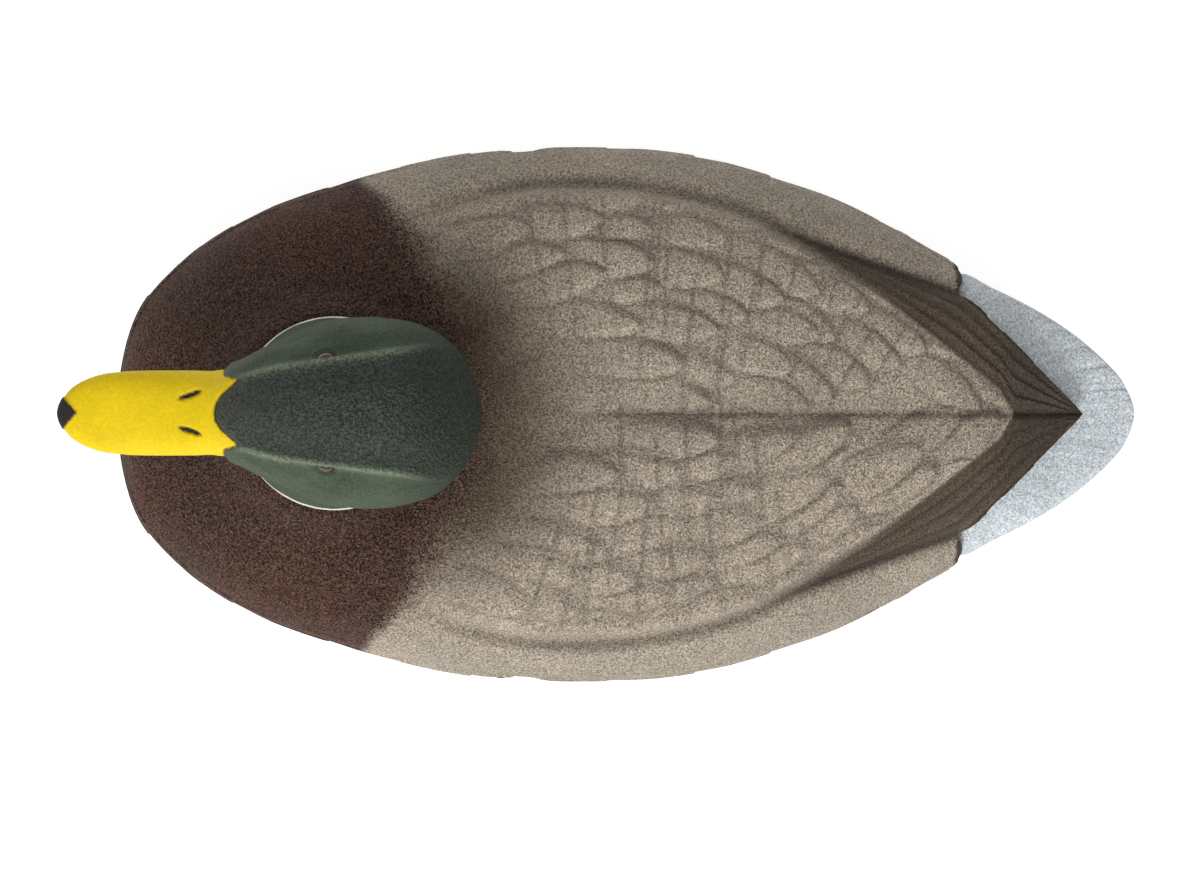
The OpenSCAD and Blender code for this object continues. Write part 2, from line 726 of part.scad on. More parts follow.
module battery_terminals() {
    foot = battery_z + battery_h - 3;
    color("#c9b06a") for (x = [-terminal_x, terminal_x])
        box([x - 2.4, battery_y - 0.4, foot], [x + 2.4, battery_y + 0.4, foot + 8]);
}

// Two straps over the battery, their feet on the bay's frame
module battery_straps() {
    gap = 0.2;
    y0 = battery_y - battery_l / 2 - gap;
    y1 = battery_y + battery_l / 2 + gap;
    top = battery_z + battery_h + gap;
    foot = ledge_z + gap;
    t = 1.4;
    front = y0 - 7;
    rear = y1 + 10;
    color("#22262a") both_sides() translate([15, 0, 0]) rotate([90, 0, 90]) linear_extrude(10)
        polygon([
            [front, foot], [y0, foot], [y0, top], [y1, top], [y1, foot], [rear, foot],
            [rear, foot + t], [y1 + t, foot + t], [y1 + t, top + t], [y0 - t, top + t], [y0 - t, foot + t],
            [front, foot + t]
        ]);
}

module battery_door() {
    color("#6f675b") difference() {
        union() {
            door_prism(0, 0, door_t);
            both_sides() rod_x(26.6, 43.4, 2.5, hinge_y, hinge_z);
            both_sides() box([26.6, hinge_y, 0.1], [43.4, door_front_y + 0.5, 2.6]);
            for (x = [-30, 30]) box([x - 1.5, 30, door_t - 0.1], [x + 1.5, 70, door_t + 1.8]);
            translate([0, latch_y, 0]) cylinder(h = 7.2, r = 4.7);
        }
        both_sides() rod_x(20, 50, hinge_pin_r + run_gap, hinge_y, hinge_z);
        translate([0, latch_y, -1]) cylinder(h = 3.8, r = 6.4);
        translate([0, latch_y, -1]) cylinder(h = 12, r = 2.5 + run_gap);
    }
}

module door_gasket() {
    color("#2a2a2a") difference() {
        door_prism(-0.6, door_t, door_t + door_seal_t);
        door_prism(-3.4, door_t - 1, door_t + door_seal_t + 1);
    }
}

module hinge_pins() {
    color("#c4c8cc") both_sides() rod_x(hinge_pin_x[0], hinge_pin_x[1], hinge_pin_r, hinge_y, hinge_z);
}

// Quarter-turn latch: finger bar outside, cam tongue inside. It rests with the tongue clear of the ledge.
module latch_knob() {
    color("#202224") translate([0, latch_y, 0]) {
        difference() {
            translate([0, 0, 0.3]) cylinder(h = 2.3, r = 6);
            for (s = [-1, 1]) translate([0, s * 4.6, 0]) box([-8, -2.6, -1], [8, 2.6, 1.9]);
        }
        translate([0, 0, 2]) cylinder(h = 8.3, r = 2.5);
        box([0, -3.2, 7.3], [11.5, 3.2, 10.3]);
        translate([0, 0, 7.3]) cylinder(h = 3, r = 3.2);
    }
}

module switch_body() {
    color("#1d1f21") translate([switch_x, panel_y, 0]) difference() {
        union() {
            box([-12.5, -9.5, panel_z - 1.5], [12.5, 9.5, panel_z]);
            box([-10.6, -7.6, panel_z - 0.1], [10.6, 7.6, panel_z + 14]);
            for (x = [-6, 0, 6]) box([x - 0.4, -2.4, panel_z + 13.9], [x + 0.4, 2.4, panel_z + 20]);
        }
        box([-9.4, -6.4, panel_z - 3], [9.4, 6.4, panel_z + 9]);
        translate([0, 8, rocker_z]) rotate([90, 0, 0]) cylinder(h = 16, r = trunnion_r + run_gap);
    }
}

module switch_rocker() {
    width = 12;
    color("#c0392b") translate([switch_x, panel_y, rocker_z]) rotate([90, -rocker_rest_tilt, 0]) {
        translate([0, 0, -width / 2]) linear_extrude(width)
            polygon([[-8.6, -1.5], [-8.4, -5.6], [0, -3.9], [8.4, -5.6], [8.6, -1.5], [3, 1.8], [-3, 1.8]]);
        translate([0, 0, -7.4]) cylinder(h = 14.8, r = trunnion_r);
    }
}

module charge_jack() {
    color("#2b2d30") translate([jack_x, panel_y, 0]) difference() {
        union() {
            translate([0, 0, panel_z - 1.5]) cylinder(h = 1.5, r = 8);
            translate([0, 0, panel_z - 0.1]) cylinder(h = 16, r = 5.9);
        }
        difference() {
            translate([0, 0, 0]) cylinder(h = 17, r = 2.8);
            translate([0, 0, panel_z + 1]) cylinder(h = 18, r = 0.9);
        }
    }
}

module jack_cap() {
    color("#1c1c1c") translate([0, panel_y, 0]) {
        translate([jack_x, 0, 3.5]) cylinder(h = 1.8, r = 7.6);
        translate([jack_x, 0, 5]) cylinder(h = 1.6, r = 2.2);
        box([jack_x + 6, -2.5, 3.5], [cap_hinge[0], 2.5, 5.3]);
        translate([cap_hinge[0], -2.5, cap_hinge[1]]) rotate([-90, 0, 0]) cylinder(h = 5, r = 1.3);
        box([cap_hinge[0] - 1.3, -2.5, 3.5], [cap_hinge[0] + 1.3, 2.5, cap_hinge[1]]);
    }
}

// ---------- electronics ----------

module control_board() {
    color("#1f6b3a") difference() {
        translate(board_origin) cube(board_size);
        board_screw_places() translate([0, 0, board_origin[2] - 1]) cylinder(h = 4, r = 1.4);
    }
}

module board_parts() {
    top = board_origin + [0, 0, board_size[2]];
    color("#2d3236") translate(top) {
        box([8, 10, 0], [26, 26, 14]);
        translate([34, 14, 0]) cylinder(h = 12, r = 4);
        translate([43, 24, 0]) cylinder(h = 9, r = 3);
        box([30, 22, 0], [38, 30, 2]);
        box([10, 31, 0], [34, 38.5, 9]);
        box([10, 1.5, 0], [24, 7, 8]);
    }
}

module board_screws() {
    color("#b8bcc0") board_screw_places()
        translate([0, 0, board_origin[2] + board_size[2]]) screw_down(8, 1, 1.9);
}

module battery_leads() {
    tab_z = battery_z + battery_h + 6.2;
    board = board_origin + [14, 34.7, board_size[2] + 10.2];
    color("#a8201a") {
        wire([[-terminal_x, battery_y, tab_z], [-terminal_x, battery_y - 5, tab_z + 7], [-42, 8, 74],
            [-54, -20, 44], board]);
        wire([[terminal_x, battery_y, tab_z], [30, battery_y - 6, tab_z + 8], [-20, 14, 80], [-46, -14, 48],
            board + [8, 0, 0]]);
    }
}

module motor_leads() {
    board = board_origin + [18, 4.2, board_size[2] + 9.2];
    color("#c25a17") for (s = [-1, 1]) wire([
        [frame_x[0] - 40.2, motor_y + s * 6, motor_z], [-36, motor_y + s * 5, motor_z - 1],
        [-45, -63 + s * 3, 36], board + [s * 3, 0, 0]
    ]);
}

module panel_leads() {
    board = board_origin + [28, 34.7, board_size[2] + 10.2];
    color("#202124") {
        wire([[switch_x - 6, panel_y, 28.4], [switch_x - 8, panel_y + 4, 36], [-36, -66, 52],
            [-41, -46, 47], board]);
        wire([[jack_x, panel_y, 24.2], [jack_x - 6, panel_y + 4, 36], [-20, -78, 54], [-33, -50, 52],
            board + [4, 0, 0]]);
    }
}

// ---------- stake socket ----------

module socket_screw_places() {
    for (a = [45:90:315]) rotate(a) translate([12.4, 0, 0]) children();
}

module stake_socket() {
    color("#8d9297") difference() {
        union() {
            translate([0, 0, wall]) cylinder(h = 6, r = 16);
            translate([0, 0, wall]) cylinder(h = stake_depth + 3, r = stake_r + 2.5);
        }
        translate([0, 0, wall - 1]) cylinder(h = stake_depth + 1, r = stake_r);
        socket_screw_places() translate([0, 0, wall - 1]) cylinder(h = 8, r = 1.55);
    }
}

module socket_screws() {
    color("#b8bcc0") socket_screw_places() {
        translate([0, 0, 0.1]) cylinder(h = 1.85, r1 = 3.2, r2 = 1.6);
        translate([0, 0, 0.1]) cylinder(h = 8.3, r = 1.5);
    }
}

// ---------- fasteners of the shells ----------

module shell_screws() {
    color("#9a9ea3") for (s = shell_screw_xy) both_sides() translate([s[0], s[1], belly_z(s[0], s[1]) + 6]) {
        translate([0, 0, -2.4]) cylinder(h = 2.4, r = 3.5);
        translate([0, 0, -0.1]) cylinder(h = back_rim_z + 18 - belly_z(s[0], s[1]) - 6, r = 1.8);
    }
}

module tail_screws() {
    color("#9a9ea3") both_sides() translate([tail_screw_x, 133.8, tail_screw_z]) rotate([90, 0, 0])
        screw_down(15, 1.7, 3.4);
}

back_shell();
belly_shell();
tail_fan();
head();
eyes();
seam_gasket();
shell_screws();
tail_screws();
neck_washer();
neck_retainer();
neck_screws();
wing_shaft();
shaft_bushes();
shaft_seals();
left_wing_hub();
right_wing_hub();
hub_magnets();
hub_pins();
shaft_collars();
drive_gear();
motor_pinion();
motor_shaft();
motor();
drive_frame();
frame_bushes();
frame_screws();
motor_screws();
battery();
battery_terminals();
battery_straps();
battery_door();
door_gasket();
hinge_pins();
latch_knob();
switch_body();
switch_rocker();
charge_jack();
jack_cap();
control_board();
board_parts();
board_screws();
battery_leads();
motor_leads();
panel_leads();
stake_socket();
socket_screws();
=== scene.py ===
import math

import bmesh
import bpy
import numpy as np
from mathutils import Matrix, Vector
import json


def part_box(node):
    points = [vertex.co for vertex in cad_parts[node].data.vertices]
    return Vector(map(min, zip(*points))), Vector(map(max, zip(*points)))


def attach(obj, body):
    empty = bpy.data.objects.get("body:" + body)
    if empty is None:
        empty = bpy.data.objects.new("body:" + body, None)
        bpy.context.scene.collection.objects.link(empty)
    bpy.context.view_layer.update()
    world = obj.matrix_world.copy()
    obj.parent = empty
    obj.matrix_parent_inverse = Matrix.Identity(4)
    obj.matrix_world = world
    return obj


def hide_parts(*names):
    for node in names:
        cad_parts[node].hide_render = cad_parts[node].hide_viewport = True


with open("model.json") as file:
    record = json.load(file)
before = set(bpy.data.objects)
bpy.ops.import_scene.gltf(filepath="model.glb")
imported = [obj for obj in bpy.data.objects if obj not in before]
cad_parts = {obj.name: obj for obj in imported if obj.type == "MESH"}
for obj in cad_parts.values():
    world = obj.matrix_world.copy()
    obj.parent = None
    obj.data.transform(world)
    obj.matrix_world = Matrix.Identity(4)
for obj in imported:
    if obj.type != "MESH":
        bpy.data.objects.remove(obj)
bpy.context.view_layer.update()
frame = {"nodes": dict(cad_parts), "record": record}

# Sizes and places are in mm, x to the decoy's left, y to its tail, z up.
MM = 0.001
SEAM_Z = 56.0
RIM_GAP = 0.5            # from the seam's middle to the rim of either shell
SHELL_T = 2.4
COARSE = 6               # the inner skin has one vertex for this many on the outer one
BACK_GRID = (373, 223)   # rows and columns of the outer skins, each one more than a multiple of COARSE
BELLY_GRID = (301, 181)
BACK_POWER = 2.3         # superellipse power of the hull's cross-sections
BELLY_POWER = 3.0
LEAST = 2.0              # half width and height that the hull keeps at its ends
REAR_Y = 131.8           # rear edge of the back beside the wing tips, and how far it curves out
REAR_BULGE = 3.6
V_APEX_Y = 179.3         # where the folded wings' tips meet
V_SLOPE = 0.985
V_NOTCH_X, V_NOTCH_Y = 46.0, 132.6
GROOVE_END_Y = 133.0     # where the groove round a wing turns into the edge of its tip
PRIMARY_COUNT = 4.0
FEATHER_L = 43.0
FEATHER_W = 11.5
FEATHER_STEP = 25.0
FLANK_ROW, FLANK_L = 9.5, 34.0
FAN_Y = 70.0             # the tail feathers spread from here
FAN_STEP = 4.2           # in degrees
NECK_Y, NECK_Z = -96.0, 114.0
NECK_BORE_R = 24.05
COLLAR_R, COLLAR_END_R = 36.5, 56.0     # the flat seat of the neck, and the slope round it
RING_TOP_Z = 123.4
BILL_FOOT_Y = -134.5     # where the bill meets the head underneath
NAIL_Y, NAIL_SLOPE, NAIL_HALF = -186.5, 0.93, 6.2
NOSTRIL_X, NOSTRIL_Y = 6.4, -145.2
NOSTRIL_L, NOSTRIL_W, NOSTRIL_SLOPE = 4.4, 1.15, 0.3
CUP_BACK, CUP_FLOOR, CUP_MOUTH, CUP_END = 70, 76, 96.6, 112    # hub cups: distances from the centre plane
CUP_HOLE_R, CUP_R, CUP_OUTER_R = 6, 15, 18
SHAFT_R = 3.0
SHELL_SCREWS = [(60, -112), (78, 30), (44, 112)]
SCREW_HEAD_R = 3.8

eye_low, eye_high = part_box("eyes")
EYE_R = (eye_high.z - eye_low.z) / 2 / MM
EYE = np.array([eye_high.x / MM - EYE_R, (eye_low.y + eye_high.y) / 2 / MM,
                (eye_low.z + eye_high.z) / 2 / MM])
shaft_low, shaft_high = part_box("wing_shaft")
SHAFT_Y = (shaft_low.y + shaft_high.y) / 2 / MM
CUP_Y = shaft_low.y / MM + SHAFT_R

# Hull: y, half width, height of the crown and of the keel. The base is flat where the keel lies below 0.
HULL = [
    (-182.6, 0, 56.5, 55.5), (-177, 33.4, 80, 33), (-163, 53.7, 93, 15), (-135.5, 73.1, 104.5, 2),
    (-98.9, 87.1, 111, -5), (-53.3, 98.2, 112.5, -6), (-7.6, 101.2, 112, -6), (38.1, 97.4, 109.5, -6),
    (83.7, 83.5, 104.5, -5.5), (111.1, 70.6, 100, 3),
]
# The back ends with the wing tips over the tail, the belly with the stern under it.
BACK = [(y, half, crown) for y, half, crown, _ in HULL]
BACK += [(137, 55.9, 94.5), (150, 48.8, 91.2), (165, 41, 88.2), (181, 33, 85.2)]
BACK_END_Y = 137
BELLY = [(y, half, keel) for y, half, _, keel in HULL]
BELLY += [(137, 53.6, 22), (150, 37.4, 38), (158, 0, 55.5)]
# y, half width, crown, edge and underside heights
TAIL = [
    (129.5, 49.5, 82, 61, 57.5), (137, 53.3, 85.4, 61.5, 56.6), (147.4, 47.9, 83, 66, 56.6),
    (155, 44, 81.6, 69, 57), (163, 39.6, 80.4, 71.5, 60), (171.9, 34, 79.6, 73.3, 66),
    (180.8, 27.3, 79.6, 75.2, 71.5), (189.6, 19.1, 80, 77, 75), (195.8, 11.3, 80.3, 78.3, 77),
    (199.4, 0, 80.8, 79.6, 79),
]
# y, half width, top, bottom and widest level of the head and bill
HEAD = [
    (-194.3, 0, 129.6, 128.6, 129), (-191.7, 6.4, 131.8, 126.8, 128.8), (-187.5, 10.5, 133.4, 126.2, 129),
    (-179.5, 13.8, 135.2, 126, 129.3), (-170, 15, 137, 126.2, 130), (-158, 15.3, 139.6, 126.6, 131),
    (-145, 15.2, 144.6, 127, 134), (-136, 15.2, 150.5, 126.5, 137), (-128, 18.6, 158.6, 124, 140),
    (-120, 22.8, 166, 121, 141), (-110, 27.0, 171.8, 118.5, 142), (-98, 32.2, 176, 117, 143),
    (-84, 33.9, 178, 117, 144), (-70, 32.8, 176.6, 119, 145), (-59, 29.2, 171.6, 124, 147),
    (-50, 22.2, 164, 133, 149), (-44.5, 13, 156.5, 141, 149.5), (-41.5, 0, 150, 149, 149.5),
]
# z and radius of the spigot, the neck ring and the neck, from below
NECK = [
    (98.4, 0), (98.4, 23.9), (114.0, 23.9), (114.25, 34.2), (115.2, 35), (119, 35.1), (123.5, 34.4),
    (130, 32.2), (138, 30), (150, 26), (158, 0),
]

# Lines on the skin: y and the distance from the centre plane
GROOVE = [
    (-80, 60), (-69, 70), (-57, 77.5), (-37, 83.5), (-20, 85.8), (6, 85.6), (26, 82.8), (45.5, 78.2),
    (60, 73), (70, 67.8), (95, 58.7), (116, 51.5), (133, 46), (179.3, 0),
]
PRIMARIES = [(52, 74.5), (70, 64), (100, 45.7), (125, 27), (148, 8.8), (153, 0)]
BROW = [(-127, 12), (-112, 15.7), (-97, 17.8), (-79, 20), (-60, 22.4)]
# The distance from the centre plane and y: where the feathers begin behind the smooth cape, where the
# brown paint ends, and where the bill meets the head on top
CAPE = [(0, -6), (15, -25), (32, -42), (50, -56), (65, -68), (76, -77), (90, -91), (102, -94)]
BROWN = [(0, -46), (20, -48), (45, -57), (65, -68), (76, -77), (90, -91), (102, -94)]
BILL_LINE = [
    (0, -136.2), (3, -135.6), (6, -133.4), (9, -130), (11.4, -127.2), (12.9, -132.8), (15.5, -133.4),
]


# ---------- numbers ----------

def srgb(*c):
    v = np.array(c, float) / 255
    return np.where(v <= 0.04045, v / 12.92, ((v + 0.055) / 1.055) ** 2.4)


def smoothstep(a, b, v):
    t = np.clip((v - a) / (b - a), 0, 1)
    return t * t * (3 - 2 * t)


def bell(v, width):
    return np.exp(-((v / width) ** 2))


def mix(a, b, t):
    return a * (1 - t) + b * t


def tint(a, b, t):
    """Mixes colours, with one share per point."""
    return mix(a, b, np.asarray(t)[:, None])


def lookup(v, table):
    t = np.array(table, float)
    return np.interp(v, t[:, 0], t[:, 1])


def lattice(i, j, k, seed):
    """A number from 0 to 1 that looks random, the same each time for the same lattice point."""
    h = (i * 374761393 + j * 668265263 + k * 1442695041 + seed * 1274126177) & 0xFFFFFFFF
    h = ((h ^ (h >> 13)) * 1274126177) & 0xFFFFFFFF
    return ((h ^ (h >> 16)) & 0xFFFF) / 65535.0


def noise(x, y, z, size, seed=0):
    """Smooth noise from -1 to 1 with lumps of about that size."""
    p = [np.asarray(c, float) / size for c in (x, y, z)]
    i = [np.floor(c).astype(np.int64) for c in p]
    f = [smoothstep(0, 1, c - b) for c, b in zip(p, i)]
    total = 0
    for a in (0, 1):
        for b in (0, 1):
            for c in (0, 1):
                w = (f[0] if a else 1 - f[0]) * (f[1] if b else 1 - f[1]) * (f[2] if c else 1 - f[2])
                total = total + w * lattice(i[0] + a, i[1] + b, i[2] + c, seed)
    return 2 * total - 1


def spline(stations, per_span=40, round_first=False, round_last=False):
    """Catmull-Rom through the stations; a rounded end leaves its first station square to the axis."""
    s = np.array(stations, float)
    first, last = 2 * s[0] - s[1], 2 * s[-1] - s[-2]
    if round_first:
        first[0] = s[1, 0]
    if round_last:
        last[0] = s[-2, 0]
    p = np.vstack([first, s, last])
    t = np.linspace(0, 1, per_span, endpoint=False)[:, None]
    out = []
    for a, b, c, d in zip(p[:-3], p[1:-2], p[2:-1], p[3:]):
        square, cube = 2 * a - 5 * b + 4 * c - d, 3 * b - a - 3 * c + d
        out.append(0.5 * (2 * b + (c - a) * t + square * t**2 + cube * t**3))
    return np.vstack(out + [s[-1:]])


def even_rows(curve, n):
    """n rows of the curve, evenly spaced along y and closer where its width changes fast."""
    d = np.diff(curve, axis=0)
    length = np.concatenate([[0], np.cumsum(np.hypot(d[:, 0], 0.5 * d[:, 1]))])
    at = np.linspace(0, length[-1], n)
    return np.stack([np.interp(at, length, curve[:, k]) for k in range(curve.shape[1])], axis=1)


def even_arc(power, half, height, n):
    """Angles of n points evenly spaced round half a superellipse."""
    t = np.linspace(0, math.pi, 2001)
    c, s = np.cos(t), np.sin(t).clip(0)
    x, z = half * np.sign(c) * np.abs(c) ** (2 / power), height * s ** (2 / power)
    length = np.concatenate([[0], np.cumsum(np.hypot(np.diff(x), np.diff(z)))])
    return np.interp(np.linspace(0, length[-1], n), length, t)


def arc(power, t):
    """Points of half a superellipse of size 1."""
    c, s = np.cos(t), np.sin(t).clip(0)
    return np.sign(c) * np.abs(c) ** (2 / power), s ** (2 / power)


def grid_normals(p):
    n = np.cross(np.gradient(p, axis=0), np.gradient(p, axis=1))
    return n / np.maximum(np.linalg.norm(n, axis=2, keepdims=True), 1e-9)


# ---------- meshes ----------

def make_object(name, verts, faces):
    mesh = bpy.data.meshes.new(name)
    mesh.from_pydata((np.asarray(verts) * MM).tolist(), [], faces)
    mesh.validate()
    obj = bpy.data.objects.new(name, mesh)
    bpy.context.scene.collection.objects.link(obj)
    return obj


def quads(rows, cols, start=0, flip=False, wrap=False):
    """Faces of a grid of points; wrap joins its last column to the first."""
    i, j = np.meshgrid(np.arange(rows - 1), np.arange(cols if wrap else cols - 1), indexing="ij")
    k = (j + 1) % cols
    corners = [i * cols + j, i * cols + k, (i + 1) * cols + k, (i + 1) * cols + j]
    f = np.stack(corners, axis=2).reshape(-1, 4) + start
    return (f[:, ::-1] if flip else f).tolist()


def shell_object(name, outer, normals):
    """A closed skin of even thickness: fine outside, coarse inside, joined by one face per coarse edge."""
    rows, cols = outer.shape[:2]
    inner = (outer - SHELL_T * normals)[::COARSE, ::COARSE]
    r, c = inner.shape[:2]
    base = rows * cols
    faces = quads(rows, cols) + quads(r, c, start=base, flip=True)
    sides = [
        ([(i, 0) for i in range(rows)], [(i, 0) for i in range(r)], True),
        ([(i, cols - 1) for i in range(rows)], [(i, c - 1) for i in range(r)], False),
        ([(0, j) for j in range(cols)], [(0, j) for j in range(c)], False),
        ([(rows - 1, j) for j in range(cols)], [(r - 1, j) for j in range(c)], True),
    ]
    for fine, rough, forward in sides:
        for k in range(len(rough) - 1):
            loop = [i * cols + j for i, j in fine[k * COARSE:(k + 1) * COARSE + 1]]
            loop += [base + i * c + j for i, j in (rough[k + 1], rough[k])]
            faces.append(loop if forward else loop[::-1])
    return outward(make_object(name, np.vstack([outer.reshape(-1, 3), inner.reshape(-1, 3)]), faces))


def ring_object(name, rings):
    """A closed solid through rings with the same number of points; the end rings close to their middles."""
    rows, cols = rings.shape[:2]
    verts = np.vstack([rings.reshape(-1, 3), rings[0].mean(0), rings[-1].mean(0)])
    faces = quads(rows, cols, wrap=True)
    a, b = rows * cols, rows * cols + 1
    faces += [[a, (j + 1) % cols, j] for j in range(cols)]
    faces += [[b, (rows - 1) * cols + j, (rows - 1) * cols + (j + 1) % cols] for j in range(cols)]
    return outward(make_object(name, verts, faces))


def cylinder(axis, radius, start, end, centre, sides=72):
    """A tool along an axis (0 is x, 2 is z); its centre gives the other two coordinates."""
    a = np.linspace(0, 2 * math.pi, sides, endpoint=False)
    first, second = [k for k in range(3) if k != axis]
    rings = np.empty((2, sides, 3))
    rings[0, :, axis], rings[1, :, axis] = start, end
    rings[:, :, first] = centre[0] + radius * np.cos(a)
    rings[:, :, second] = centre[1] + radius * np.sin(a)
    return ring_object("tool", rings)


def prism(outline, low, high):
    """A tool: the outline between two heights."""
    rings = [np.column_stack([outline, np.full(len(outline), z)]) for z in (low, high)]
    return ring_object("tool", np.array(rings))


def rounded(x0, x1, y0, y1, radii=(0.5, 0.5, 0.5, 0.5), steps=9):
    """Outline of a rectangle with a radius for each corner, anticlockwise from its lowest x and y."""
    out = []
    corners = [(x0, y0, 1, 1), (x1, y0, -1, 1), (x1, y1, -1, -1), (x0, y1, 1, -1)]
    for k, ((x, y, sx, sy), r) in enumerate(zip(corners, radii)):
        for a in np.radians(180 + 90 * k + np.linspace(0, 90, steps)):
            out.append((x + r * (sx + math.cos(a)), y + r * (sy + math.sin(a))))
    return out


def outward(obj):
    """Turns the faces outwards."""
    bm = bmesh.new()
    bm.from_mesh(obj.data)
    bmesh.ops.recalc_face_normals(bm, faces=bm.faces)
    bm.to_mesh(obj.data)
    bm.free()
    return obj


def bake(obj):
    """Applies the object's modifiers."""
    graph = bpy.context.evaluated_depsgraph_get()
    graph.update()
    mesh = bpy.data.meshes.new_from_object(obj.evaluated_get(graph))
    obj.modifiers.clear()
    obj.data = mesh
    return obj


def boolean(obj, tools, operation="DIFFERENCE"):
    """Cuts the tools out of the object, or adds them, and removes them."""
    for tool in tools:
        m = obj.modifiers.new("cut", "BOOLEAN")
        m.operation, m.solver, m.object = operation, "EXACT", tool
        bake(obj)
        bpy.data.objects.remove(tool)
    return obj


def join(main, others):
    """Takes the others' faces into the main object."""
    for o in others:
        n = len(main.data.vertices)
        verts = np.vstack([coordinates(main), coordinates(o)])
        faces = [list(p.vertices) for p in main.data.polygons]
        faces += [[v + n for v in p.vertices] for p in o.data.polygons]
        old = main.data
        mesh = bpy.data.meshes.new(main.name)
        mesh.from_pydata((verts * MM).tolist(), [], faces)
        main.data = mesh
        bpy.data.meshes.remove(old)
        bpy.data.objects.remove(o)
    return main


def coordinates(obj):
    co = np.empty(len(obj.data.vertices) * 3, np.float32)
    obj.data.vertices.foreach_get("co", co)
    return co.reshape(-1, 3).astype(float) / MM


def set_coordinates(obj, co):
    obj.data.vertices.foreach_set("co", (co * MM).astype(np.float32).ravel())
    obj.data.update()


def normals_of(obj):
    n = np.empty(len(obj.data.vertices) * 3, np.float32)
    obj.data.vertices.foreach_get("normal", n)
    return n.reshape(-1, 3).astype(float)


def paint(obj, colour, gloss, grain):
    """Stores each vertex's colour (linear), grain strength and gloss, which the paint material reads."""
    n = len(obj.data.vertices)
    rgba = np.hstack([np.clip(colour, 0, 1), np.broadcast_to(grain, n)[:, None]])
    layer = obj.data.attributes.new("paint", "FLOAT_COLOR", "POINT")
    layer.data.foreach_set("color", rgba.astype(np.float32).ravel())
    layer = obj.data.attributes.new("gloss", "FLOAT", "POINT")
    layer.data.foreach_set("value", np.broadcast_to(gloss, n).astype(np.float32))


def finish_piece(obj, material, body, node, sharp):
    """Gives the piece its material, and the body and CAD node that it stands for."""
    obj.data.materials.clear()
    obj.data.materials.append(material)
    for p in obj.data.polygons:
        p.use_smooth = True
    obj.data.set_sharp_from_angle(angle=math.radians(sharp))
    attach(obj, body)
    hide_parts(node)


# ---------- materials ----------

def new_material(name):
    """A material, its node tree and its shader."""
    mat = bpy.data.materials.new(name)
    mat.use_nodes = True
    tree = mat.node_tree
    return mat, tree, tree.nodes["Principled BSDF"]


def add(tree, kind, inputs=None, **settings):
    """Adds a node; an input is a value or the output that it is linked to."""
    node = tree.nodes.new(kind)
    for k, v in settings.items():
        setattr(node, k, v)
    for k, v in (inputs or {}).items():
        if isinstance(v, bpy.types.NodeSocket):
            tree.links.new(v, node.inputs[k])
        else:
            node.inputs[k].default_value = v
    return node


def noise_node(tree, scale, detail, stretch=None, distortion=0.0):
    coords = add(tree, "ShaderNodeTexCoord").outputs["Object"]
    if stretch:
        coords = add(tree, "ShaderNodeMapping", {"Vector": coords, "Scale": stretch}).outputs["Vector"]
    return add(tree, "ShaderNodeTexNoise", {"Vector": coords, "Scale": scale, "Detail": detail,
                                            "Distortion": distortion}).outputs["Fac"]


def ranged(tree, value, low, high, from_low=0.3, from_high=0.7):
    return add(tree, "ShaderNodeMapRange", {"Value": value, "From Min": from_low, "From Max": from_high,
                                            "To Min": low, "To Max": high}).outputs["Result"]


def times(tree, a, b):
    return add(tree, "ShaderNodeMath", {0: a, 1: b}, operation="MULTIPLY").outputs[0]


def flock_material(name, grain, contrast, bump_mm):
    """Painted, flocked moulding: the paint layer's colour, grain as strong as its alpha, rubbed spots."""
    mat, tree, bsdf = new_material(name)
    layer = add(tree, "ShaderNodeAttribute", attribute_name="paint").outputs
    gloss = add(tree, "ShaderNodeAttribute", attribute_name="gloss").outputs["Fac"]
    fine = noise_node(tree, grain, 0.6, distortion=0.8)
    patch = noise_node(tree, 38.0, 3.0)
    brush = noise_node(tree, 260.0, 2.0, (1.0, 0.22, 1.0))
    swing = times(tree, ranged(tree, fine, -contrast, contrast, 0.32, 0.68), layer["Alpha"])
    shade = add(tree, "ShaderNodeMath", {0: swing, 1: 1.0}, operation="ADD").outputs[0]
    shade = times(tree, shade, ranged(tree, patch, 0.95, 1.05))
    shade = times(tree, shade, ranged(tree, brush, 0.97, 1.03))
    rgb = add(tree, "ShaderNodeVectorMath", {0: layer["Color"]}, operation="SCALE")
    tree.links.new(shade, rgb.inputs["Scale"])
    wear = ranged(tree, noise_node(tree, 95.0, 6.0), 0.0, 0.35, 0.66, 0.74)
    lighter = add(tree, "ShaderNodeVectorMath", {0: rgb.outputs[0]}, operation="SCALE")
    lighter.inputs["Scale"].default_value = 1.12
    worn = add(tree, "ShaderNodeMix", {"Factor": wear, 6: rgb.outputs[0], 7: lighter.outputs[0]},
               data_type="RGBA")
    tree.links.new(worn.outputs[2], bsdf.inputs["Base Color"])
    rough = add(tree, "ShaderNodeMath", {0: ranged(tree, patch, 0.93, 0.84), 1: gloss}, operation="SUBTRACT")
    tree.links.new(rough.outputs[0], bsdf.inputs["Roughness"])
    bsdf.inputs["Specular IOR Level"].default_value = 0.25
    bump = add(tree, "ShaderNodeBump", {"Height": fine, "Strength": layer["Alpha"], "Distance": bump_mm * MM})
    tree.links.new(bump.outputs[0], bsdf.inputs["Normal"])
    return mat


